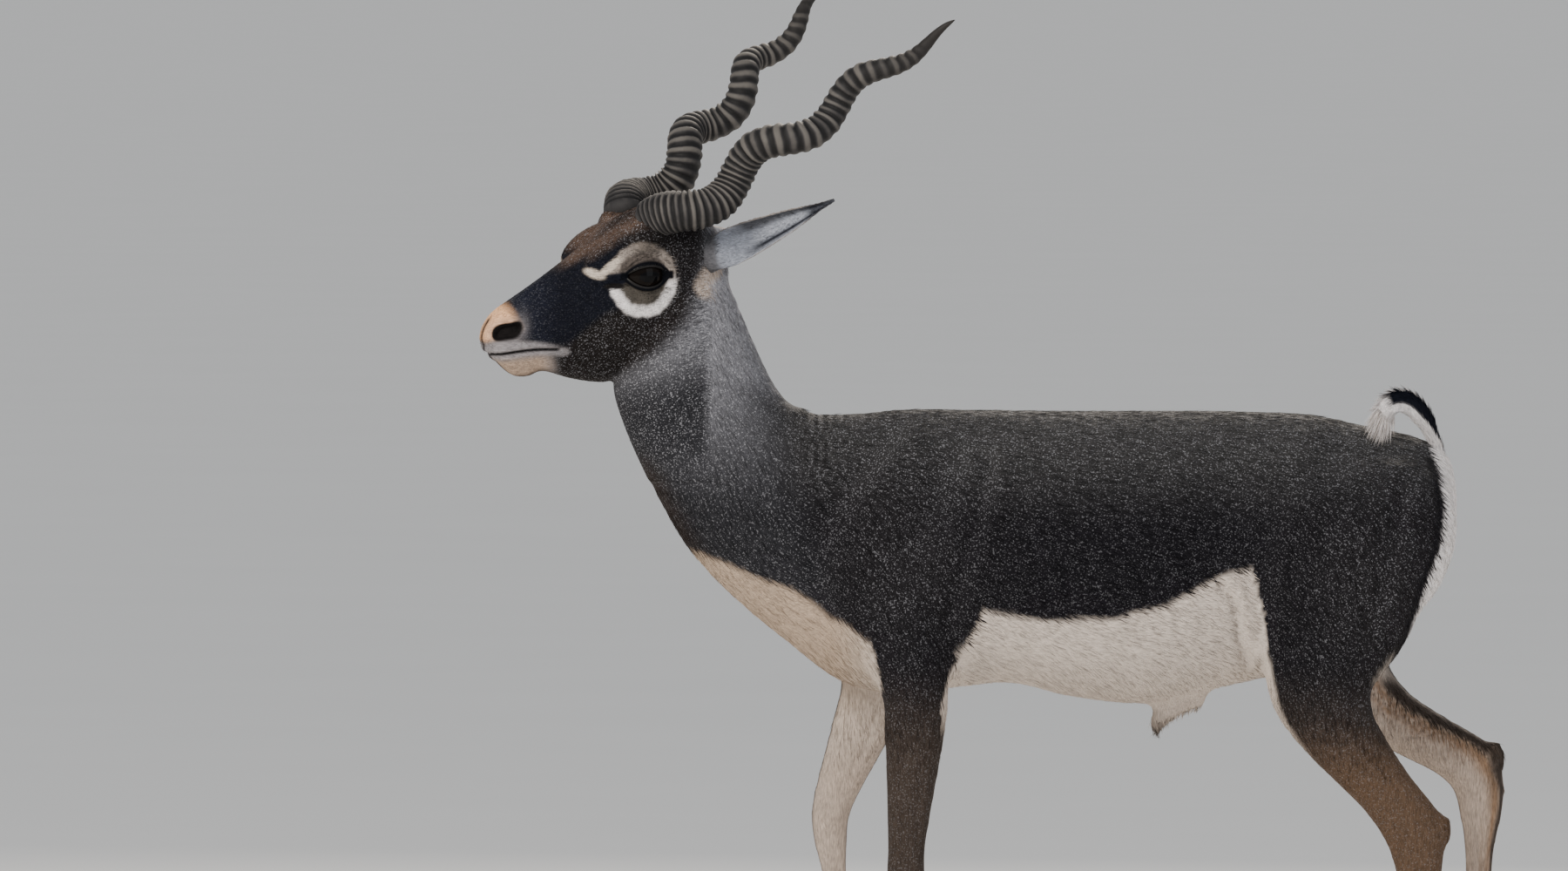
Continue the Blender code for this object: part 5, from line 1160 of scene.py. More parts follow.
def make_coat(skin, settings, look, material):
    """Short tufts all over the skin, smallest on the face and the feet, one object for each region."""

    def density(place):
        place = place - SHIFT
        head = head_share(place)
        legs = step(0.46 - place[:, 2], 0.0, 0.06)
        neck = step(-0.2 - place[:, 0], 0.0, 0.05) * (place[:, 2] > 0.6)
        amount = 82000.0 + 30000.0 * neck + 40000.0 * legs
        amount = amount * (1.0 - head) + 260000.0 * head
        return amount * bare_places(place) * settings.coat_fullness

    roots, normals, rng = scatter(skin.data, density, 21)
    roots = roots - SHIFT
    runs = lie(roots, normals)
    head = head_share(roots)
    face = head * step(0.2 - head_coordinates(roots)[:, 0], 0.0, 0.08)
    legs = step(0.46 - roots[:, 2], 0.0, 0.1)
    feet = step(0.14 - roots[:, 2], 0.0, 0.06)
    count = len(roots)
    length = settings.tuft_length * (1.0 - 0.35 * legs - 0.25 * feet)
    length = (length * (1.0 - head) + 0.0066 * head - 0.0022 * face) * rng.uniform(0.75, 1.25, count)
    width = (0.00095 * (1.0 - 0.1 * legs) * (1.0 - head) + 0.00062 * head) * rng.uniform(0.7, 1.3, count)
    lift = rng.uniform(0.03, 0.13, count) + 0.05 * head
    bend = rng.uniform(-0.09, 0.00, count) - 0.1 * legs
    runs = unit(runs + np.cross(normals, runs) * rng.normal(0.0, 0.13, count)[:, None])
    colour, grizzle = markings(roots, normals, look)
    tone = np.clip(rng.normal(1.0, 0.16, count), 0.55, 1.5)[:, None]
    light = rng.random(count) < 0.1 + 0.4 * grizzle
    # Tufts are painted darker at the root and lighter at the tip: painted shade deep in the coat and painted
    # light at its surface; the pale tips of grizzled hairs are the hair's own colour
    tip = colour * 1.15 * tone
    pale = np.asarray(look["grizzle"]) * tone[light] * (0.03 + 0.72 * grizzle[light, None] ** 1.5)
    tip[light] = np.maximum(pale, tip[light])
    colours = np.stack([colour * 0.75 * tone] * 3 + [colour * tone] * 3 + [tip], axis=1)
    roots = roots - normals * 0.0004
    names = region_of(roots)
    for name in sorted(set(names)):
        own = names == name
        points, faces = tuft_mesh(roots[own], normals[own], runs[own], length[own], width[own],
                                  width[own] * 0.3, lift[own], bend[own])
        if len(faces) > MOST_COAT_TRIANGLES:
            raise RuntimeError(f"{name} has {len(faces)} triangles")
        coat_object(name, points + SHIFT, faces, 7, unwrap(roots[own], name), colours[own].reshape(-1, 3),
                    material)


def strands(name, roots, runs, droops, faces_out, length, width, colours, uv_roots, material, levels):
    """Long flat locks: each a closed four-sided blade that bends from its run toward its droop.

    Point (s, k) = root + run * length * s + droop * length * s squared + the corner k of a flat
    diamond of size width * (0.55 + 0.45 sin(pi * (s + 0.25))) * square root of (1 - s).
    """
    side = unit(np.cross(runs, faces_out))
    shares = np.linspace(0.0, 1.0, levels)
    corners = ((1.0, 0.0), (0.0, 0.35), (-1.0, 0.0), (0.0, -0.35))
    points = []
    for share in shares[:-1]:
        centre = roots + runs * (length * share)[:, None] + droops * (length * share ** 2)[:, None]
        belly = 0.55 + 0.45 * math.sin(math.pi * min(share + 0.25, 1.0))
        size = (width * belly * (1.0 - share) ** 0.5)[:, None]
        for across, high in corners:
            points.append(centre + side * size * across + faces_out * size * high)
    points.append(roots + runs * length[:, None] + droops * length[:, None])
    points = np.stack(points, axis=1)
    per = points.shape[1]
    pattern = [(2, 1, 0), (3, 2, 0)]
    for i in range(levels - 2):
        for k in range(4):
            a, b = 4 * i + k, 4 * i + (k + 1) % 4
            pattern += [(a, b, b + 4), (a, b + 4, a + 4)]
    last = 4 * (levels - 2)
    pattern += [(last + k, last + (k + 1) % 4, per - 1) for k in range(4)]
    faces = (np.arange(len(roots)) * per)[:, None, None] + np.array(pattern)[None]
    per_colour = np.repeat(colours[:, None], per, axis=1).reshape(-1, 3)
    return coat_object(name, points.reshape(-1, 3), faces.reshape(-1, 3), per, uv_roots, per_colour, material)


# Horns

def horn_line(hand, count):
    """Centre line of a horn, a helix whose radius fades to nothing at the tip, with its front direction."""
    back, up, left = HEAD_MATRIX
    side, run = SIDES[hand], HORN_REACH[hand]
    start = head_point(HORN_BASE[hand], side)
    reach = run[0] * back + run[1] * up + side * run[2] * left
    along = unit(reach)
    front = unit(up - (up @ along) * along)
    out = side * left - (side * left @ along) * along
    out = unit(out - (out @ front) * front)
    share = np.linspace(0.0, 1.0, count)
    phase = HORN_START_PHASE + 2.0 * math.pi * share * np.linalg.norm(reach) / HORN_PERIOD[hand]
    radius = HORN_HELIX_RADIUS * (1.0 - 0.25 * share) * (1.0 - share ** 6)
    circle = (radius * np.cos(phase))[:, None] * front + (radius * np.sin(phase))[:, None] * out
    first = circle[0]
    return start - first + share[:, None] * (reach + first) + circle, share, front


def make_horn(hand, settings, material):
    """A ringed horn: rings square to a helix, each ridge a soft bell round the horn.

    Radius (s, angle) = taper(s) * (0.925 + 0.115 * ridge(rings * s) * fade(s) * strength by angle), where
    each ridge is a flat-topped bell and the taper falls by 30% along the horn and to a point at its end.
    """
    rows, sides = settings.horn_rings * 12 + 40, 44
    centres, share, front = horn_line(hand, rows)
    along = unit(np.gradient(centres, axis=0))
    rng = np.random.default_rng(5 if hand == "left" else 6)
    angle = np.linspace(0.0, 2.0 * math.pi, sides, endpoint=False)
    ringed = np.clip(share / 0.93, 0.0, 1.0)
    dense = (1.0 - np.exp(-ringed / 0.18)) * 0.25 + ringed * 0.75
    count = dense * settings.horn_rings + 0.1 * np.sin(ringed * 21.0)
    wave = count[:, None] + (0.1 * np.cos(angle) + 0.05 * np.sin(3.0 * angle + 1.0))[None, :] + 0.5
    ridge = np.exp(-(np.abs(wave - np.floor(wave) - 0.5) / 0.3) ** 3)
    sizes = rng.uniform(0.72, 1.18, settings.horn_rings + 4)
    strength = sizes[np.clip(np.floor(wave).astype(int), 0, len(sizes) - 1)]
    fade = step(0.95 - share, 0.0, 0.13) * (0.55 + 0.45 * step(share, 0.0, 0.04))
    taper = HORN_BASE_RADIUS * (1.0 - 0.3 * share - 0.62 * share ** 4 + 0.14 * bump(share, 0.16))
    point = np.sqrt(np.maximum(1.0 - ((share - 0.97) / 0.0301) ** 2, 0.0))
    taper = np.where(share > 0.97, taper * point, taper)
    height = ridge * strength * fade[:, None] * (0.85 + 0.15 * np.cos(angle)[None, :])
    radius = taper[:, None] * (0.925 + 0.115 * height)
    radius += 0.00018 * np.sin(angle * 17.0 + 3.0 * np.sin(share * 40.0)[:, None]) * (1.0 - share[:, None])
    one = unit(front - (along @ front)[:, None] * along)
    two = np.cross(along, one)
    rings = centres[:, None] + radius[:, :, None] * (np.cos(angle)[None, :, None] * one[:, None]
                                                     + np.sin(angle)[None, :, None] * two[:, None])
    drop = along[0] * HORN_ROOT_DEPTH + HEAD_MATRIX[1] * HORN_ROOT_DROP
    roots = [centres[0] - depth * drop + wide * (rings[0] - centres[0]) for depth, wide in HORN_ROOT]
    points, faces = tube_mesh(np.concatenate([roots, rings]))
    item = new_object("horn", points + SHIFT, faces)
    height = np.concatenate([height[:1], height[:1], height]).ravel()
    along_share = np.concatenate([share[:1], share[:1], share])
    paint(item.data, "relief", np.concatenate([height, (0.0, 0.0)]))
    paint(item.data, "along", np.concatenate([np.repeat(along_share, sides), (0.0, 1.0)]))
    settle(item, "horn_" + hand + "_ringed", material, ["horn_" + hand])


# Ears

def ear_frame(hand):
    """Start of an ear, its reach, the way it points, the way it opens and its width."""
    start = head_point(EAR_ROOT, SIDES[hand])
    reach = np.array(EAR_REACH[hand])
    along = unit(reach)
    opening = np.array((-0.55, 0.35, SIDES[hand] * 0.8)) @ HEAD_MATRIX
    opening = unit(opening - (opening @ along) * along)
    return start, reach, along, opening, np.cross(along, opening)


def make_ear(hand, look, material, hair_material):
    """An ear cup: crescent sections along the ear, with dark margins and pale hair inside."""
    start, reach, along, opening, width = ear_frame(hand)
    length = np.linalg.norm(reach)
    arc = 29
    outer = np.linspace(0.0, math.pi, arc)
    inner = np.linspace(math.pi, 0.0, arc)[1:-1]
    rings, across, levels = [], [], []
    for share in np.concatenate([[-0.06, 0.0], np.linspace(0.02, 0.985, 62)]):
        level = max(share, 0.0)
        half = EAR_HALF_WIDTH * float(follow(EAR_PROFILE, level)) - 0.0003
        depth = half * (0.8 - 0.25 * level)
        hollow = float(step(np.array(level), 0.03, 0.3))
        wall = min(0.0017 / half, 0.6)
        deep = (1.0 - hollow) * 0.75 - hollow * (1.0 - wall * 1.15)
        side = np.concatenate([np.cos(outer), np.cos(inner) * (1.0 - wall * hollow)]) * half
        bottom = np.concatenate([-np.sin(outer), np.sin(inner) * deep]) * depth
        bottom[arc:] += (0.0009 * np.sin(side / half * 9.0) * hollow * (1.0 - level))[arc:]
        curl = 0.01 * math.sin(math.pi * level) * opening
        place = start + along * (share * length)
        rings.append(place - curl + side[:, None] * width + bottom[:, None] * opening)
        across.append(side / half)
        levels.append(np.full(len(side), level))
    rings, across, levels = np.array(rings), np.concatenate(across), np.concatenate(levels)
    sides = rings.shape[1]
    inside = np.tile(np.arange(sides) >= arc, len(rings)).astype(float)
    upper = across if width[2] > 0.0 else -across
    colour = layers(plain(look, "neck", len(inside)), look,
                    ("buff", (1.0 - inside) * step(-upper, 0.3, 0.8) * 0.6), ("inner_ear", inside),
                    ("mask", inside * bump(upper + 0.6, 0.17) * step(levels, 0.15, 0.35)),
                    ("neck_low", inside * step(upper, 0.2, 0.62) * step(levels, 0.1, 0.3) * 0.8),
                    ("buff", step(np.abs(across), 0.93, 0.99) * step(upper, 0.0, 0.1) * 0.9),
                    ("mask", step(levels, 0.66, 0.8) * 0.85))
    colour = mix(colour, np.array(look["neck"]) * 0.55, step(0.08 - levels - 0.03 * across, 0.0, 0.05))
    points, faces = tube_mesh(rings)
    item = new_object("ear", points + SHIFT, faces)
    paint(item.data, "coat_colour", np.vstack([colour, colour[:1], colour[-1:]]))
    paint(item.data, "grizzle", np.concatenate([(1.0 - inside) * 0.5, (0.0, 0.0)]))
    paint(item.data, "upright", np.zeros(len(inside) + 2))
    settle(item, "ear_" + hand + "_cup", material, ["ear_" + hand])
    # Hair: short on the back and the rims, longer and pale inside
    rng = np.random.default_rng(31 if hand == "left" else 32)
    count = 2600
    flat = rings.reshape(-1, 3)
    row = (rng.random(count) ** 1.2 * 58).astype(int) + 3
    column = rng.integers(0, sides, count)
    index = row * sides + column
    ahead = unit(flat[np.minimum(index + sides, len(flat) - 1)] - flat[index])
    around = flat[row * sides + (column + 1) % sides] - flat[row * sides + (column - 1) % sides]
    normal = unit(np.cross(around, ahead))
    outward = flat[index] - rings.mean(axis=1)[row]
    within = inside[index] > 0.5
    facing = np.where(within, (normal @ opening), (normal * outward).sum(axis=1))
    normal *= np.where(facing < 0.0, -1.0, 1.0)[:, None]
    hair_length = np.where(within, 0.0085, 0.005) * (1.0 - 0.4 * levels[index]) * rng.uniform(0.7, 1.2, count)
    hair_width = np.full(count, 0.00036) * rng.uniform(0.8, 1.4, count)
    run = unit(ahead + 0.2 * rng.normal(size=(count, 3)) * np.where(within, 1.0, 0.5)[:, None])
    uv = np.stack([0.02 + 0.96 * row / 62.0, 0.02 + 0.96 * column / sides], axis=1)
    tone = rng.uniform(0.85, 1.2, count)[:, None]
    strands("coat_ear_" + hand, flat[index] - normal * 0.0003 + SHIFT, run, -0.06 * normal, normal,
            hair_length, hair_width, np.clip(colour[index] * tone, 0.0, 1.0), uv, hair_material, 3)


# Eyes

def make_eye(hand, ball_material, rim_material):
    """A smooth eyeball, and a moist black rim along the edge of the lids."""
    centre = head_point(EYE_PLACE, SIDES[hand]) + SHIFT
    axes = np.stack([HEAD_MATRIX[0], HEAD_MATRIX[1], HEAD_MATRIX[2] * SIDES[hand]])
    points, faces = ball_mesh((0.0, 0.0, 0.0), (EYE_RADIUS - 0.0004,) * 3, 64, 48)
    run, rise = slit_coordinates(points[:, 0] + EYE_PLACE[0], points[:, 1] + EYE_PLACE[1])
    out = points[:, 2] > 0.0
    points = points * (1.0 + 0.016 * bump(np.hypot(run, rise), 0.014) * out)[:, None]
    eye = new_object("eye", points @ axes + centre, faces)
    paint(eye.data, "eye_run", run / EYE_RADIUS)
    paint(eye.data, "eye_rise", rise / EYE_RADIUS)
    settle(eye, "eye_" + hand + "_ball", ball_material, ["eye_" + hand])
    # The rim: a tube whose line follows the opening on a sphere just outside the eyeball
    steps = 96
    turn = np.linspace(0.0, 2.0 * math.pi, steps, endpoint=False)
    along = EYE_SLIT_HALF_LENGTH * 0.985 * np.cos(turn)
    high = slit_edge(along) * np.where(np.sin(turn) >= 0.0, 1.0, -1.0)
    flat_back, flat_up = turned(along, high, -EYE_SLIT_TILT)
    reach = EYE_RADIUS + 0.0009
    out_depth = np.sqrt(np.maximum(reach ** 2 - flat_back ** 2 - flat_up ** 2, (0.28 * reach) ** 2))
    line = np.stack([flat_back, flat_up, out_depth], axis=1)
    path_along = unit(np.roll(line, -1, axis=0) - np.roll(line, 1, axis=0))
    normal = unit(line)
    across = np.cross(path_along, normal)
    section = np.linspace(0.0, 2.0 * math.pi, 12, endpoint=False)
    thick = 0.00135 + 0.00065 * bump((along + EYE_SLIT_HALF_LENGTH) / EYE_SLIT_HALF_LENGTH, 0.25) \
        + 0.00025 * (np.sin(turn) > 0.0)
    rings = line[:, None] + thick[:, None, None] * (np.cos(section)[None, :, None] * across[:, None] * 1.25
                                                    + np.sin(section)[None, :, None] * normal[:, None] * 0.85)
    rim = new_object("rim", rings.reshape(-1, 3) @ axes + centre, grid_faces(steps, len(section), True))
    settle(rim, "eye_" + hand + "_rim", rim_material, [])
    # Lashes along the upper lid
    upper = (high > 0.0) & (np.abs(along) < EYE_SLIT_HALF_LENGTH * 0.8)
    base = line[upper] * 1.04
    rng = np.random.default_rng(41)
    count = 46
    pick = rng.integers(0, len(base), count)
    jitter = rng.normal(0.0, 0.0006, (count, 3))
    run = unit(normal[upper][pick] + np.array((0.25, 0.35, 0.0)) + rng.normal(0.0, 0.1, (count, 3)))
    droop = np.tile(np.array((0.1, -0.45, 0.1)), (count, 1))
    strands("coat_lashes_" + hand, (base[pick] + jitter) @ axes + centre, run @ axes, droop @ axes,
            unit(np.cross(run, (1.0, 0.0, 0.0))) @ axes, rng.uniform(0.0045, 0.0075, count),
            np.full(count, 0.00022), np.tile((0.006, 0.005, 0.005), (count, 1)),
            np.stack([0.1 + 0.8 * pick / len(base), np.full(count, 0.5)], axis=1), rim_material, 4)


# Tail

def tail_frames(per_span):
    """Places along the tail with its run, width and outward directions and its half sizes."""
    table = smooth_rows(TAIL, per_span)
    path = table[:, [0, 2, 1]]
    along = unit(np.gradient(path, axis=0))
    outward = unit(np.stack([along[:, 2], np.zeros(len(table)), -along[:, 0]], axis=1))
    tilt = (TAIL_TILT * step(np.linspace(0.0, 1.0, len(table)), 0.1, 0.5))[:, None]
    near = np.array((0.0, -1.0, 0.0))
    width = np.cos(tilt) * near - np.sin(tilt) * outward
    face = np.cos(tilt) * outward + np.sin(tilt) * near
    return path, along, width, face, table[:, 3], table[:, 4]


def make_tail(look, material, hair_material):
    """The tail's ribbon, black on its outer face and white beneath, with its hair and brush."""
    path, along, width, face, half_width, half_thick = tail_frames(10)
    sides = 36
    side, height = superellipse(sides, 2.0, 2.0)
    rings = (path[:, None] + ((half_width - 0.0012)[:, None] * side)[:, :, None] * width[:, None]
             + ((half_thick - 0.0006)[:, None] * height)[:, :, None] * face[:, None])
    rows = len(rings)
    share = np.repeat(np.linspace(0.0, 1.0, rows), sides)
    across, out = np.tile(side, rows), np.tile(height, rows)
    black = step(out, -0.15, 0.15) * step(share, 0.16, 0.24) * step(0.88 - share, 0.0, 0.06) \
        * step(0.5 - across, 0.0, 0.2)
    dark_root = step(out, 0.0, 0.3) * step(0.3 - share, 0.0, 0.08) * step(0.35 - np.abs(across), 0.0, 0.3)
    colour = layers(plain(look, "white", len(share)), look, ("mask", np.maximum(black, dark_root)))
    points, faces = tube_mesh(rings)
    item = new_object("tail", points + SHIFT, faces)
    paint(item.data, "coat_colour", np.vstack([colour, colour[:1], colour[-1:]]))
    paint(item.data, "grizzle", np.zeros(len(points)))
    paint(item.data, "upright", np.ones(len(points)))
    settle(item, "tail_ribbon", material, ["tail"])
    rng = np.random.default_rng(51)
    count = 3600
    row = rng.integers(2, rows - 1, count)
    column = rng.integers(0, sides, count)
    index = row * sides + column
    flat = rings.reshape(-1, 3)
    normal = unit(flat[index] - path[row])
    edge = np.abs(side[column]) ** 3
    run = unit(along[row] + 0.3 * edge[:, None] * np.sign(side[column])[:, None] * width[row]
               + 0.22 * normal + rng.normal(0.0, 0.1, (count, 3)))
    length = (0.008 + 0.005 * edge) * rng.uniform(0.7, 1.2, count)
    tint = colour[index] * rng.uniform(0.82, 1.12, count)[:, None]
    uv = np.stack([0.02 + 0.96 * row / rows, 0.02 + 0.96 * column / sides], axis=1)
    strands("coat_tail", flat[index] - normal * 0.0006 + SHIFT, run, -0.1 * normal, normal, length,
            np.full(count, 0.00042), np.clip(tint, 0.0, 0.95), uv, hair_material, 4)
    # The brush at the tip, cream and drooping to the near side
    count = 520
    down = unit(np.array(TUFT_RUN))
    fan = rng.uniform(-1.0, 1.0, count)
    start = path[-1] - along[-1] * rng.uniform(0.0, 0.012, count)[:, None] \
        + width[-1] * (half_width[-1] * 0.8 * fan)[:, None] \
        + face[-1] * rng.uniform(-0.6, 0.6, count)[:, None] * half_thick[-1]
    run = down + 0.42 * fan[:, None] * np.array((1.0, 0.3, 0.0)) + 0.35 * along[-1]
    run = unit(run + rng.normal(0.0, 0.09, (count, 3)))
    length = TUFT_LENGTH * (1.0 - 0.16 * fan ** 2) * rng.uniform(0.55, 1.0, count)
    cream = layers(plain(look, "white", count), look, ("chest", rng.uniform(0.0, 0.6, count)))
    uv = np.stack([0.1 + 0.8 * (fan + 1.0) / 2.0, rng.uniform(0.1, 0.9, count)], axis=1)
    droop = np.tile(down * 0.18, (count, 1)) + np.array((0.0, 0.0, -0.08))
    strands("coat_tail_brush", start + SHIFT, run, droop, np.tile(face[-1], (count, 1)), length,
            np.full(count, 0.00055), cream, uv, hair_material, 6)


# Hooves

def make_hoof(foot, hand, word, material):
    """One claw: an egg outline with a pointed toe, its walls ringed by growth, its sole edge rounded.

    Ring (share): front and heel close in from sole to coronet, each point
    level * up + run * forward + (spread + wide) * across.
    """
    x, tip = FEET[foot]
    rows, side = LEGS[foot]
    forward = np.array((-math.cos(tip), 0.0, -math.sin(tip)))
    up = np.array((-math.sin(tip), 0.0, math.cos(tip)))
    height = 0.0 if tip == 0.0 else CLAW_FRONT * math.sin(tip) - TOE_SINK
    origin = np.array((x, side * rows[-1][2], height))
    across = np.array((0.0, 1.0, 0.0))
    sides = 48
    turn = np.linspace(0.0, 2.0 * math.pi, sides, endpoint=False)
    rings = []
    for share in np.concatenate([[0.0, 0.02, 0.05], np.linspace(0.09, 1.0, 44)]):
        sole = 0.0018 * (1.0 - step(np.array(share), 0.0, 0.07))
        growth = 0.00022 * math.sin(share * 62.0) * min(share * 6.0, 1.0) - 0.0003
        front = CLAW_FRONT + (0.006 - CLAW_FRONT) * share ** 1.1 - sole + growth
        heel = CLAW_HEEL + sole - growth
        run = (front + heel) / 2.0 + (front - heel) / 2.0 * np.cos(turn)
        narrow = 1.0 - 0.3 * (np.cos(turn) + 0.3) * (1.0 - 0.6 * share)
        wide = (CLAW_HALF_WIDTH * (1.0 - 0.06 * share) - 0.5 * sole + growth) * np.sin(turn) * narrow
        level = share * (CLAW_TOP_LEVEL + CLAW_TOP_SLOPE * run)
        rings.append(origin + run[:, None] * forward + (hand * CLAW_SPREAD + wide)[:, None] * across
                     + level[:, None] * up)
    rings = np.array(rings)
    if tip > 0.0:
        rings[:, :, 2] = np.maximum(rings[:, :, 2], 0.0004)
    else:
        rings[:, :, 2] += 0.0002
    points, faces = tube_mesh(rings)
    item = new_object("hoof", points + SHIFT, faces)
    shares = np.repeat(np.linspace(0.0, 1.0, len(rings)), sides)
    paint(item.data, "along", np.concatenate([shares, (0.0, 1.0)]))
    settle(item, f"claw_{foot}_{word}", material, [f"hoof_{foot}_{word}"])


# Materials

def feed(tree, made, inputs):
    """Set inputs of a node to values, or link them to a socket or to the first output of a node."""
    for key, value in inputs.items():
        if isinstance(value, bpy.types.Node):
            value = next(output for output in value.outputs if output.enabled)
        if isinstance(value, bpy.types.NodeSocket):
            tree.links.new(value, made.inputs[key])
        else:
            made.inputs[key].default_value = value


def node(tree, kind, inputs=None, **values):
    """Add a shader node, set its properties, then its inputs."""
    made = tree.nodes.new("ShaderNode" + kind)
    for key, value in values.items():
        setattr(made, key, value)
    feed(tree, made, inputs or {})
    return made


def maths(tree, operation, *values):
    """A calculation with its values in order."""
    return node(tree, "Math", dict(enumerate(values)), operation=operation)


def painted(tree, name, output="Fac"):
    """What is stored under a name on the mesh, as a number or as a colour."""
    return node(tree, "Attribute", attribute_name=name).outputs[output]


def noise(tree, scale, detail=2.0):
    """Noise in the object's own space."""
    place = node(tree, "TexCoord").outputs["Object"]
    return node(tree, "TexNoise", {"Scale": scale, "Detail": detail, "Vector": place})


def relief(tree, height, strength, distance):
    """A bump from a height."""
    return node(tree, "Bump", {"Strength": strength, "Distance": distance, "Height": height})


def ramp(tree, value, *stops):
    """A colour ramp through the given places and colours."""
    made = node(tree, "ValToRGB", {"Fac": value})
    while len(made.color_ramp.elements) < len(stops):
        made.color_ramp.elements.new(0.5)
    for element, (place, colour) in zip(made.color_ramp.elements, stops):
        element.position = place
        element.color = (*colour, 1.0)
    return made


def node_material(name, roughness):
    """A new material with its Principled shader and its node tree."""
    material = bpy.data.materials.new(name)
    material.use_nodes = True
    tree = material.node_tree
    shader = tree.nodes["Principled BSDF"]
    shader.inputs["Roughness"].default_value = roughness
    return material, tree, shader


def fur_group():
    """Shader group: streaks of short hair, run fore and aft or upright, and pale speckles on a colour."""
    group = bpy.data.node_groups.new("Short fur", "ShaderNodeTree")
    for name, way, kind in (("Colour", "INPUT", "Color"), ("Place", "INPUT", "Vector"),
                            ("Upright", "INPUT", "Float"), ("Grizzle", "INPUT", "Float"),
                            ("Speckle colour", "INPUT", "Color"), ("Streak scale", "INPUT", "Float"),
                            ("Colour", "OUTPUT", "Color"), ("Height", "OUTPUT", "Float")):
        group.interface.new_socket(name, in_out=way, socket_type="NodeSocket" + kind)
    given = group.nodes.new("NodeGroupInput").outputs
    streaks = []
    for stretch in ((0.14, 1.0, 1.0), (1.0, 1.0, 0.14)):
        squeeze = node(group, "Mapping", {"Scale": stretch, "Vector": given["Place"]})
        streaks.append(node(group, "TexNoise", {"Detail": 3.0, "Roughness": 0.6, "Vector": squeeze,
                                                "Scale": given["Streak scale"]}))
    blend = node(group, "Mix", {"Factor": given["Upright"], "A": streaks[0], "B": streaks[1]},
                 data_type="FLOAT")
    tone = node(group, "MapRange", {"From Min": 0.3, "From Max": 0.7, "To Min": 0.62, "To Max": 1.28,
                                    "Value": blend})
    clumps = node(group, "TexNoise", {"Scale": 85.0, "Detail": 2.0, "Vector": given["Place"]})
    patch = node(group, "MapRange", {"To Min": 0.82, "To Max": 1.18, "Value": clumps})
    shade = node(group, "VectorMath", {0: given["Colour"], "Scale": maths(group, "MULTIPLY", tone, patch)},
                 operation="SCALE")
    dots = node(group, "TexNoise", {"Scale": 620.0, "Detail": 1.0, "Vector": given["Place"]})
    cutoff = node(group, "MapRange", {"From Min": 0.56, "From Max": 0.68, "Value": dots})
    amount = maths(group, "MULTIPLY", cutoff, given["Grizzle"])
    speckled = node(group, "Mix", {"Factor": amount, "A": shade, "B": given["Speckle colour"]},
                    data_type="RGBA")
    feed(group, group.nodes.new("NodeGroupOutput"), {"Colour": speckled, "Height": blend})
    return group


def skin_material(settings):
    """Short fur painted and bumped on a surface."""
    material, tree, shader = node_material("short_fur", 0.78)
    fur = node(tree, "Group", {
        "Colour": painted(tree, "coat_colour", "Color"), "Upright": painted(tree, "upright"),
        "Grizzle": painted(tree, "grizzle"), "Place": node(tree, "TexCoord").outputs["Object"],
        "Speckle colour": (*settings.grizzle, 1.0), "Streak scale": 760.0,
    }, node_tree=bpy.data.node_groups.get("Short fur") or fur_group())
    feed(tree, shader, {"Base Color": fur, "Normal": relief(tree, fur.outputs["Height"], 0.55, 0.0012),
                        "Specular IOR Level": 0.05})
    return material


def hair_material():
    """Hair coloured tuft by tuft, a little darker and lighter along each: painted shade toward the roots and
    painted light toward the tips.
    """
    material, tree, shader = node_material("hair_tufts", 0.72)
    spread = node(tree, "MapRange", {"To Min": 0.8, "To Max": 1.2, "Value": noise(tree, 240.0)})
    shade = node(tree, "VectorMath", {0: painted(tree, "coat_colour", "Color"), "Scale": spread},
                 operation="SCALE")
    feed(tree, shader, {"Base Color": shade, "Specular IOR Level": 0.06})
    return material


def horn_material(settings):
    """Horn: valleys painted dark as shade between the rings, worn paler ridges, fine fibres along it and a
    smoother dark tip.
    """
    material, tree, shader = node_material("horn_keratin", 0.66)
    grain = noise(tree, 60.0, 6.0)
    # Colour follows the height of the rings: the valleys are painted dark as painted shade in the grooves
    worn = maths(tree, "ADD", painted(tree, "relief"), maths(tree, "MULTIPLY_ADD", grain, 0.7, -0.35))
    colours = ramp(tree, worn, (0.12, settings.horn_valley), (0.5, settings.horn_body),
                   (0.95, settings.horn_ridge))
    tip = node(tree, "MapRange", {"From Min": 0.7, "From Max": 0.95, "Value": painted(tree, "along")})
    end = node(tree, "Mix", {"Factor": tip, "A": colours, "B": (0.014, 0.012, 0.011, 1.0)}, data_type="RGBA")
    rough = node(tree, "MapRange", {"To Min": 0.55, "To Max": 0.8, "Value": grain})
    feed(tree, shader, {"Base Color": end, "Normal": relief(tree, noise(tree, 420.0, 4.0), 0.35, 0.0008),
                        "Roughness": rough, "Specular IOR Level": 0.22})
    return material


def hoof_material():
    """Hoof: near black horn with paler bands of growth."""
    material, tree, shader = node_material("hoof_keratin", 0.42)
    bands = maths(tree, "SINE", maths(tree, "MULTIPLY", painted(tree, "along"), 62.0))
    total = maths(tree, "MULTIPLY_ADD", bands, 0.18, noise(tree, 180.0, 5.0))
    colours = ramp(tree, total, (0.25, (0.01, 0.008, 0.007)), (0.6, (0.026, 0.021, 0.018)),
                   (0.9, (0.075, 0.06, 0.048)))
    feed(tree, shader, {"Base Color": colours, "Normal": relief(tree, total, 0.25, 0.0005)})
    return material


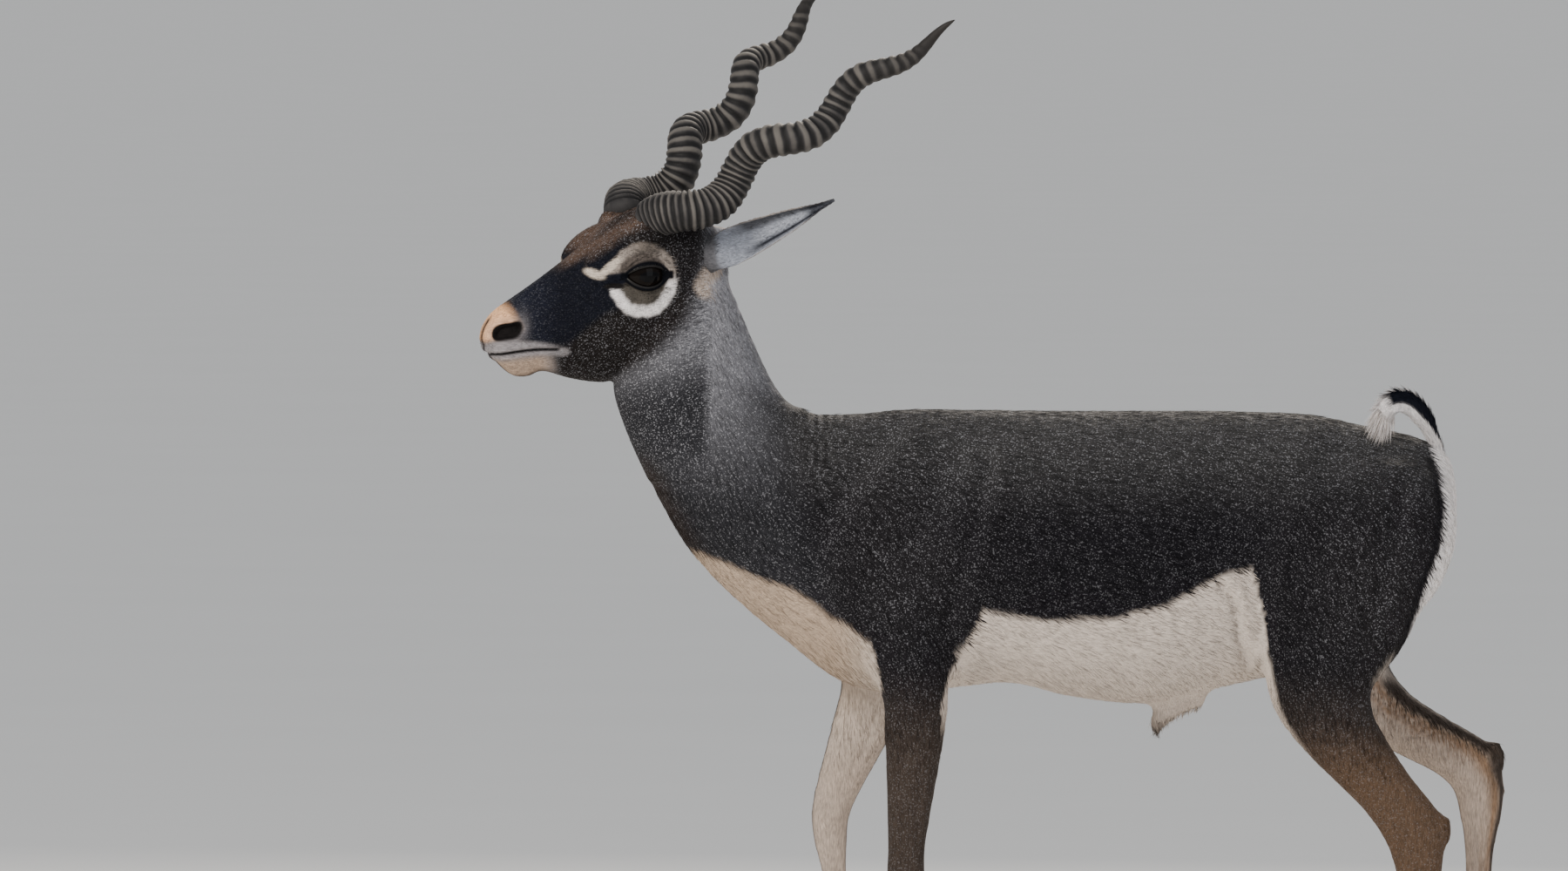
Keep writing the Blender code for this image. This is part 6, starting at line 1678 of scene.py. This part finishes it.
def eye_material(settings):
    """Eye: dark brown iris, a long level pupil, and a wet clear surface."""
    material, tree, shader = node_material("eye_wet", 0.1)
    squares = []
    for name, size in (("eye_run", 0.6), ("eye_rise", 0.3)):
        share = maths(tree, "DIVIDE", painted(tree, name), size)
        squares.append(maths(tree, "MULTIPLY", share, share))
    colours = ramp(tree, maths(tree, "ADD", *squares), (0.62, (0.002, 0.002, 0.0025)),
                   (0.74, settings.iris_colour), (1.0, (0.0035, 0.0024, 0.002)))
    feed(tree, shader, {"Base Color": colours, "Specular IOR Level": 0.0, "Coat Weight": 0.13,
                        "Coat Roughness": 0.03})
    return material


def rim_material():
    """Lids' edges: black, moist bare skin with fine creases."""
    material, tree, shader = node_material("lid_edge", 0.45)
    creases = noise(tree, 700.0)
    colours = ramp(tree, creases, (0.3, (0.0015, 0.0013, 0.0013)), (0.75, (0.005, 0.004, 0.004)))
    feed(tree, shader, {"Base Color": colours, "Normal": relief(tree, creases, 0.25, 0.0004),
                        "Specular IOR Level": 0.2})
    return material


def floor_material(settings):
    """A plain pale floor with the faintest mottling."""
    material, tree, shader = node_material("pale_floor", 0.85)
    base = np.array(tuple(settings.floor_colour))
    colours = ramp(tree, noise(tree, 2.0), (0.3, tuple(base * 0.985)), (0.7, tuple(base)))
    feed(tree, shader, {"Base Color": colours})
    return material


# The add-on

def colour_property(name, description, default):
    """A colour that a user may change."""
    return bpy.props.FloatVectorProperty(name=name, description=description, default=default,
                                         size=3, min=0.0, max=1.0, subtype="COLOR")


class BlackbuckLooks(bpy.types.PropertyGroup):
    """Sizes and colours of the dressed animal."""

    coat_depth: bpy.props.FloatProperty(
        name="Coat depth", description="How far the skin lies inside the solids", default=0.0013,
        min=0.0, max=0.01, unit="LENGTH")
    tuft_length: bpy.props.FloatProperty(
        name="Tuft length", description="Length of a tuft on the trunk", default=0.0125,
        min=0.002, max=0.05, unit="LENGTH")
    coat_fullness: bpy.props.FloatProperty(
        name="Coat fullness", description="Share of the usual number of tufts", default=1.0,
        min=0.05, max=1.2, subtype="FACTOR")
    horn_rings: bpy.props.IntProperty(
        name="Horn rings", description="Rings on each horn", default=44, min=10, max=60)
    flank: colour_property("Flank", "Darkest coat", (0.005, 0.0045, 0.006))
    back: colour_property("Back", "Top of the trunk", (0.03, 0.029, 0.029))
    haunch: colour_property("Haunch", "Grizzled haunch", (0.013, 0.0118, 0.013))
    leg: colour_property("Leg", "Outer side of the legs", (0.032, 0.024, 0.0195))
    neck: colour_property("Neck", "Grey of the neck", (0.15, 0.15, 0.165))
    neck_low: colour_property("Lower neck", "Darker grey toward the trunk", (0.0145, 0.0145, 0.017))
    throat: colour_property("Throat", "Brown front of the neck", (0.018, 0.0125, 0.0095))
    belly: colour_property("Belly", "White of the belly", (0.42, 0.365, 0.32))
    chest: colour_property("Chest", "Pale buff of the chest", (0.32, 0.245, 0.185))
    shade: colour_property("Inner leg", "Inner side of the legs", (0.3, 0.245, 0.205))
    tan: colour_property("Tan", "Tan toward the feet", (0.15, 0.085, 0.045))
    white: colour_property("White", "White marks", (0.6, 0.57, 0.565))
    cheek: colour_property("Cheek", "Grizzled cheek", (0.008, 0.0064, 0.0062))
    forehead: colour_property("Forehead", "Brown forehead", (0.066, 0.042, 0.031))
    mask: colour_property("Mask", "Black of the face", (0.0056, 0.0064, 0.011))
    # The nose's tan with painted sunlight on it
    nose: colour_property("Nose", "Tan tip of the nose and patch below the ear", (0.64, 0.36, 0.19))
    muzzle: colour_property("Muzzle", "Pale muzzle and chin", (0.19, 0.175, 0.18))
    chin: colour_property("Chin", "Warmer pale chin", (0.3, 0.22, 0.165))
    # Painted shade under the jaw
    jaw_shade: colour_property("Jaw", "Underside of the jaw", (0.0135, 0.0108, 0.0098))
    pale_mark: colour_property("Comma", "Pale mark ahead of the eye", (0.44, 0.38, 0.32))
    bare: colour_property("Bare skin", "Nostrils, lips and lids", (0.007, 0.006, 0.006))
    upper_lid: colour_property("Upper lid", "Dark skin above the eye", (0.07, 0.058, 0.051))
    ear_patch: colour_property("Ear patch", "Pale patch under the ear", (0.3, 0.245, 0.205))
    olive: colour_property("Lid patch", "Bare patch below the eye", (0.052, 0.046, 0.039))
    buff: colour_property("Buff", "Upper eye ring and ear margin", (0.24, 0.205, 0.18))
    inner_ear: colour_property("Inner ear", "White hair of the ear", (0.235, 0.25, 0.29))
    grizzle: colour_property("Grizzle", "Pale tips of the coat", (0.27, 0.27, 0.29))
    # Painted shade in the grooves between the horn's rings
    horn_valley: colour_property("Horn valley", "Between the rings", (0.0035, 0.0032, 0.0034))
    horn_body: colour_property("Horn body", "Sides of the rings", (0.018, 0.0167, 0.0173))
    horn_ridge: colour_property("Horn ridge", "Crests of the rings", (0.08, 0.073, 0.066))
    iris_colour: colour_property("Iris", "Colour of the iris", (0.003, 0.002, 0.0016))
    floor_colour: colour_property("Floor", "Colour of the floor", (0.8, 0.79, 0.77))
    light_strength: bpy.props.FloatProperty(
        name="Light", description="Strength of the main light", default=1.0, min=0.0, max=5.0)


def look_of(settings):
    """The colours by name."""
    return {item.identifier: tuple(getattr(settings, item.identifier))
            for item in settings.bl_rna.properties if item.subtype == "COLOR"}


def shared_material(name, maker, *values):
    """Make a material the first time it is wanted."""
    return bpy.data.materials.get(name) or maker(*values)


def coat_materials(settings):
    """Material of the skin and material of the hair."""
    return (shared_material("short_fur", skin_material, settings),
            shared_material("hair_tufts", hair_material))


class BLACKBUCK_OT_skin(bpy.types.Operator):
    """Build the one skin that replaces the solids of flesh"""

    bl_idname = "blackbuck.skin"
    bl_label = "Skin"

    def execute(self, context):
        settings = context.scene.blackbuck_looks
        make_skin(settings, look_of(settings), coat_materials(settings)[0])
        return {"FINISHED"}


class BLACKBUCK_OT_coat(bpy.types.Operator):
    """Lay tufts of short hair over the skin"""

    bl_idname = "blackbuck.coat"
    bl_label = "Coat"

    def execute(self, context):
        settings = context.scene.blackbuck_looks
        skin = bpy.data.objects.get("skin")
        if skin is None:
            raise RuntimeError("make the skin before the coat")
        make_coat(skin, settings, look_of(settings), coat_materials(settings)[1])
        return {"FINISHED"}


class BLACKBUCK_OT_horns(bpy.types.Operator):
    """Build both ringed horns"""

    bl_idname = "blackbuck.horns"
    bl_label = "Horns"

    def execute(self, context):
        settings = context.scene.blackbuck_looks
        for hand in SIDES:
            make_horn(hand, settings, shared_material("horn_keratin", horn_material, settings))
        return {"FINISHED"}


class BLACKBUCK_OT_ears(bpy.types.Operator):
    """Build both ear cups with their hair"""

    bl_idname = "blackbuck.ears"
    bl_label = "Ears"

    def execute(self, context):
        settings = context.scene.blackbuck_looks
        for hand in SIDES:
            make_ear(hand, look_of(settings), *coat_materials(settings))
        return {"FINISHED"}


class BLACKBUCK_OT_eyes(bpy.types.Operator):
    """Build both eyes with the rims of their lids"""

    bl_idname = "blackbuck.eyes"
    bl_label = "Eyes"

    def execute(self, context):
        ball = shared_material("eye_wet", eye_material, context.scene.blackbuck_looks)
        for hand in SIDES:
            make_eye(hand, ball, shared_material("lid_edge", rim_material))
        return {"FINISHED"}


class BLACKBUCK_OT_tail(bpy.types.Operator):
    """Build the tail with its hair and brush"""

    bl_idname = "blackbuck.tail"
    bl_label = "Tail"

    def execute(self, context):
        settings = context.scene.blackbuck_looks
        make_tail(look_of(settings), *coat_materials(settings))
        return {"FINISHED"}


class BLACKBUCK_OT_hooves(bpy.types.Operator):
    """Build the eight claws"""

    bl_idname = "blackbuck.hooves"
    bl_label = "Hooves"

    def execute(self, context):
        material = shared_material("hoof_keratin", hoof_material)
        for foot in LEGS:
            for hand, word in ((-1.0, "left"), (1.0, "right")):
                make_hoof(foot, hand, word, material)
        return {"FINISHED"}


def area_light(name, place, aim, size, power, colour):
    """A soft square light turned toward a point."""
    data = bpy.data.lights.new(name, "AREA")
    data.shape = "SQUARE"
    data.size = size
    data.energy = power
    data.color = colour
    item = bpy.data.objects.new(name, data)
    item.location = place
    item.rotation_euler = (Vector(aim) - Vector(place)).to_track_quat("-Z", "Y").to_euler()
    bpy.context.scene.collection.objects.link(item)
    return item


class BLACKBUCK_OT_stage(bpy.types.Operator):
    """Set the floor, the lights and the camera"""

    bl_idname = "blackbuck.stage"
    bl_label = "Stage"

    def execute(self, context):
        settings = context.scene.blackbuck_looks
        turn = np.linspace(0.0, 2.0 * math.pi, 96, endpoint=False)
        reach = 400.0
        points = np.stack([reach * np.cos(turn), reach * np.sin(turn), np.zeros(96)], axis=1)
        floor = new_object("floor", points, [list(range(96))])
        floor.data.materials.append(floor_material(settings))
        world = bpy.data.worlds.new("soft_room")
        world.use_nodes = True
        background = world.node_tree.nodes["Background"]
        background.inputs["Color"].default_value = (0.9, 0.92, 0.95, 1.0)
        background.inputs["Strength"].default_value = 0.7
        context.scene.world = world
        aim = (-0.05, MIDLINE_Y, 0.65)
        strength = settings.light_strength
        area_light("key", (-2.2, -3.4, 3.0), aim, 1.8, 260.0 * strength, (1.0, 0.95, 0.88))
        area_light("fill", (2.8, -3.0, 1.4), aim, 3.0, 50.0 * strength, (0.92, 0.95, 1.0))
        area_light("back", (0.6, 3.0, 2.8), aim, 1.6, 260.0 * strength, (1.0, 0.9, 0.78))
        camera_data = bpy.data.cameras.new("camera")
        camera = bpy.data.objects.new("camera", camera_data)
        context.scene.collection.objects.link(camera)
        distance, elevation = 18.0, math.radians(2.0)
        target = Vector((-0.2236, MIDLINE_Y, 0.7455))
        offset = Vector((0.0, -math.cos(elevation), math.sin(elevation))) * distance
        camera.location = target + offset
        camera.rotation_euler = (-offset).to_track_quat("-Z", "Y").to_euler()
        camera_data.sensor_width = 36.0
        camera_data.lens = 36.0 * distance / 1.6364
        camera_data.clip_end = 1000.0
        context.scene.camera = camera
        return {"FINISHED"}


class BLACKBUCK_PT_looks(bpy.types.Panel):
    """Lists the pieces in the sidebar"""

    bl_idname = "BLACKBUCK_PT_looks"
    bl_label = "Blackbuck"
    bl_space_type = "VIEW_3D"
    bl_region_type = "UI"
    bl_category = "Blackbuck"

    def draw(self, context):
        settings = context.scene.blackbuck_looks
        for name in settings.bl_rna.properties.keys():
            if name not in {"rna_type", "name"}:
                self.layout.prop(settings, name)
        for operator in OPERATORS:
            self.layout.operator(operator.bl_idname)


OPERATORS = (BLACKBUCK_OT_skin, BLACKBUCK_OT_coat, BLACKBUCK_OT_horns, BLACKBUCK_OT_ears, BLACKBUCK_OT_eyes,
             BLACKBUCK_OT_tail, BLACKBUCK_OT_hooves, BLACKBUCK_OT_stage)


def register():
    """Make the classes known, and add the settings to the scene."""
    bpy.utils.register_class(BlackbuckLooks)
    for operator in OPERATORS:
        bpy.utils.register_class(operator)
    bpy.utils.register_class(BLACKBUCK_PT_looks)
    bpy.types.Scene.blackbuck_looks = bpy.props.PointerProperty(type=BlackbuckLooks)


def unregister():
    """Take the settings and classes away again."""
    del bpy.types.Scene.blackbuck_looks
    bpy.utils.unregister_class(BLACKBUCK_PT_looks)
    for operator in reversed(OPERATORS):
        bpy.utils.unregister_class(operator)
    bpy.utils.unregister_class(BlackbuckLooks)


def main():
    """Build every piece in order."""
    register()
    bpy.ops.blackbuck.skin()
    bpy.ops.blackbuck.coat()
    bpy.ops.blackbuck.horns()
    bpy.ops.blackbuck.ears()
    bpy.ops.blackbuck.eyes()
    bpy.ops.blackbuck.tail()
    bpy.ops.blackbuck.hooves()
    bpy.ops.blackbuck.stage()


if __name__ == "__main__":
    main()
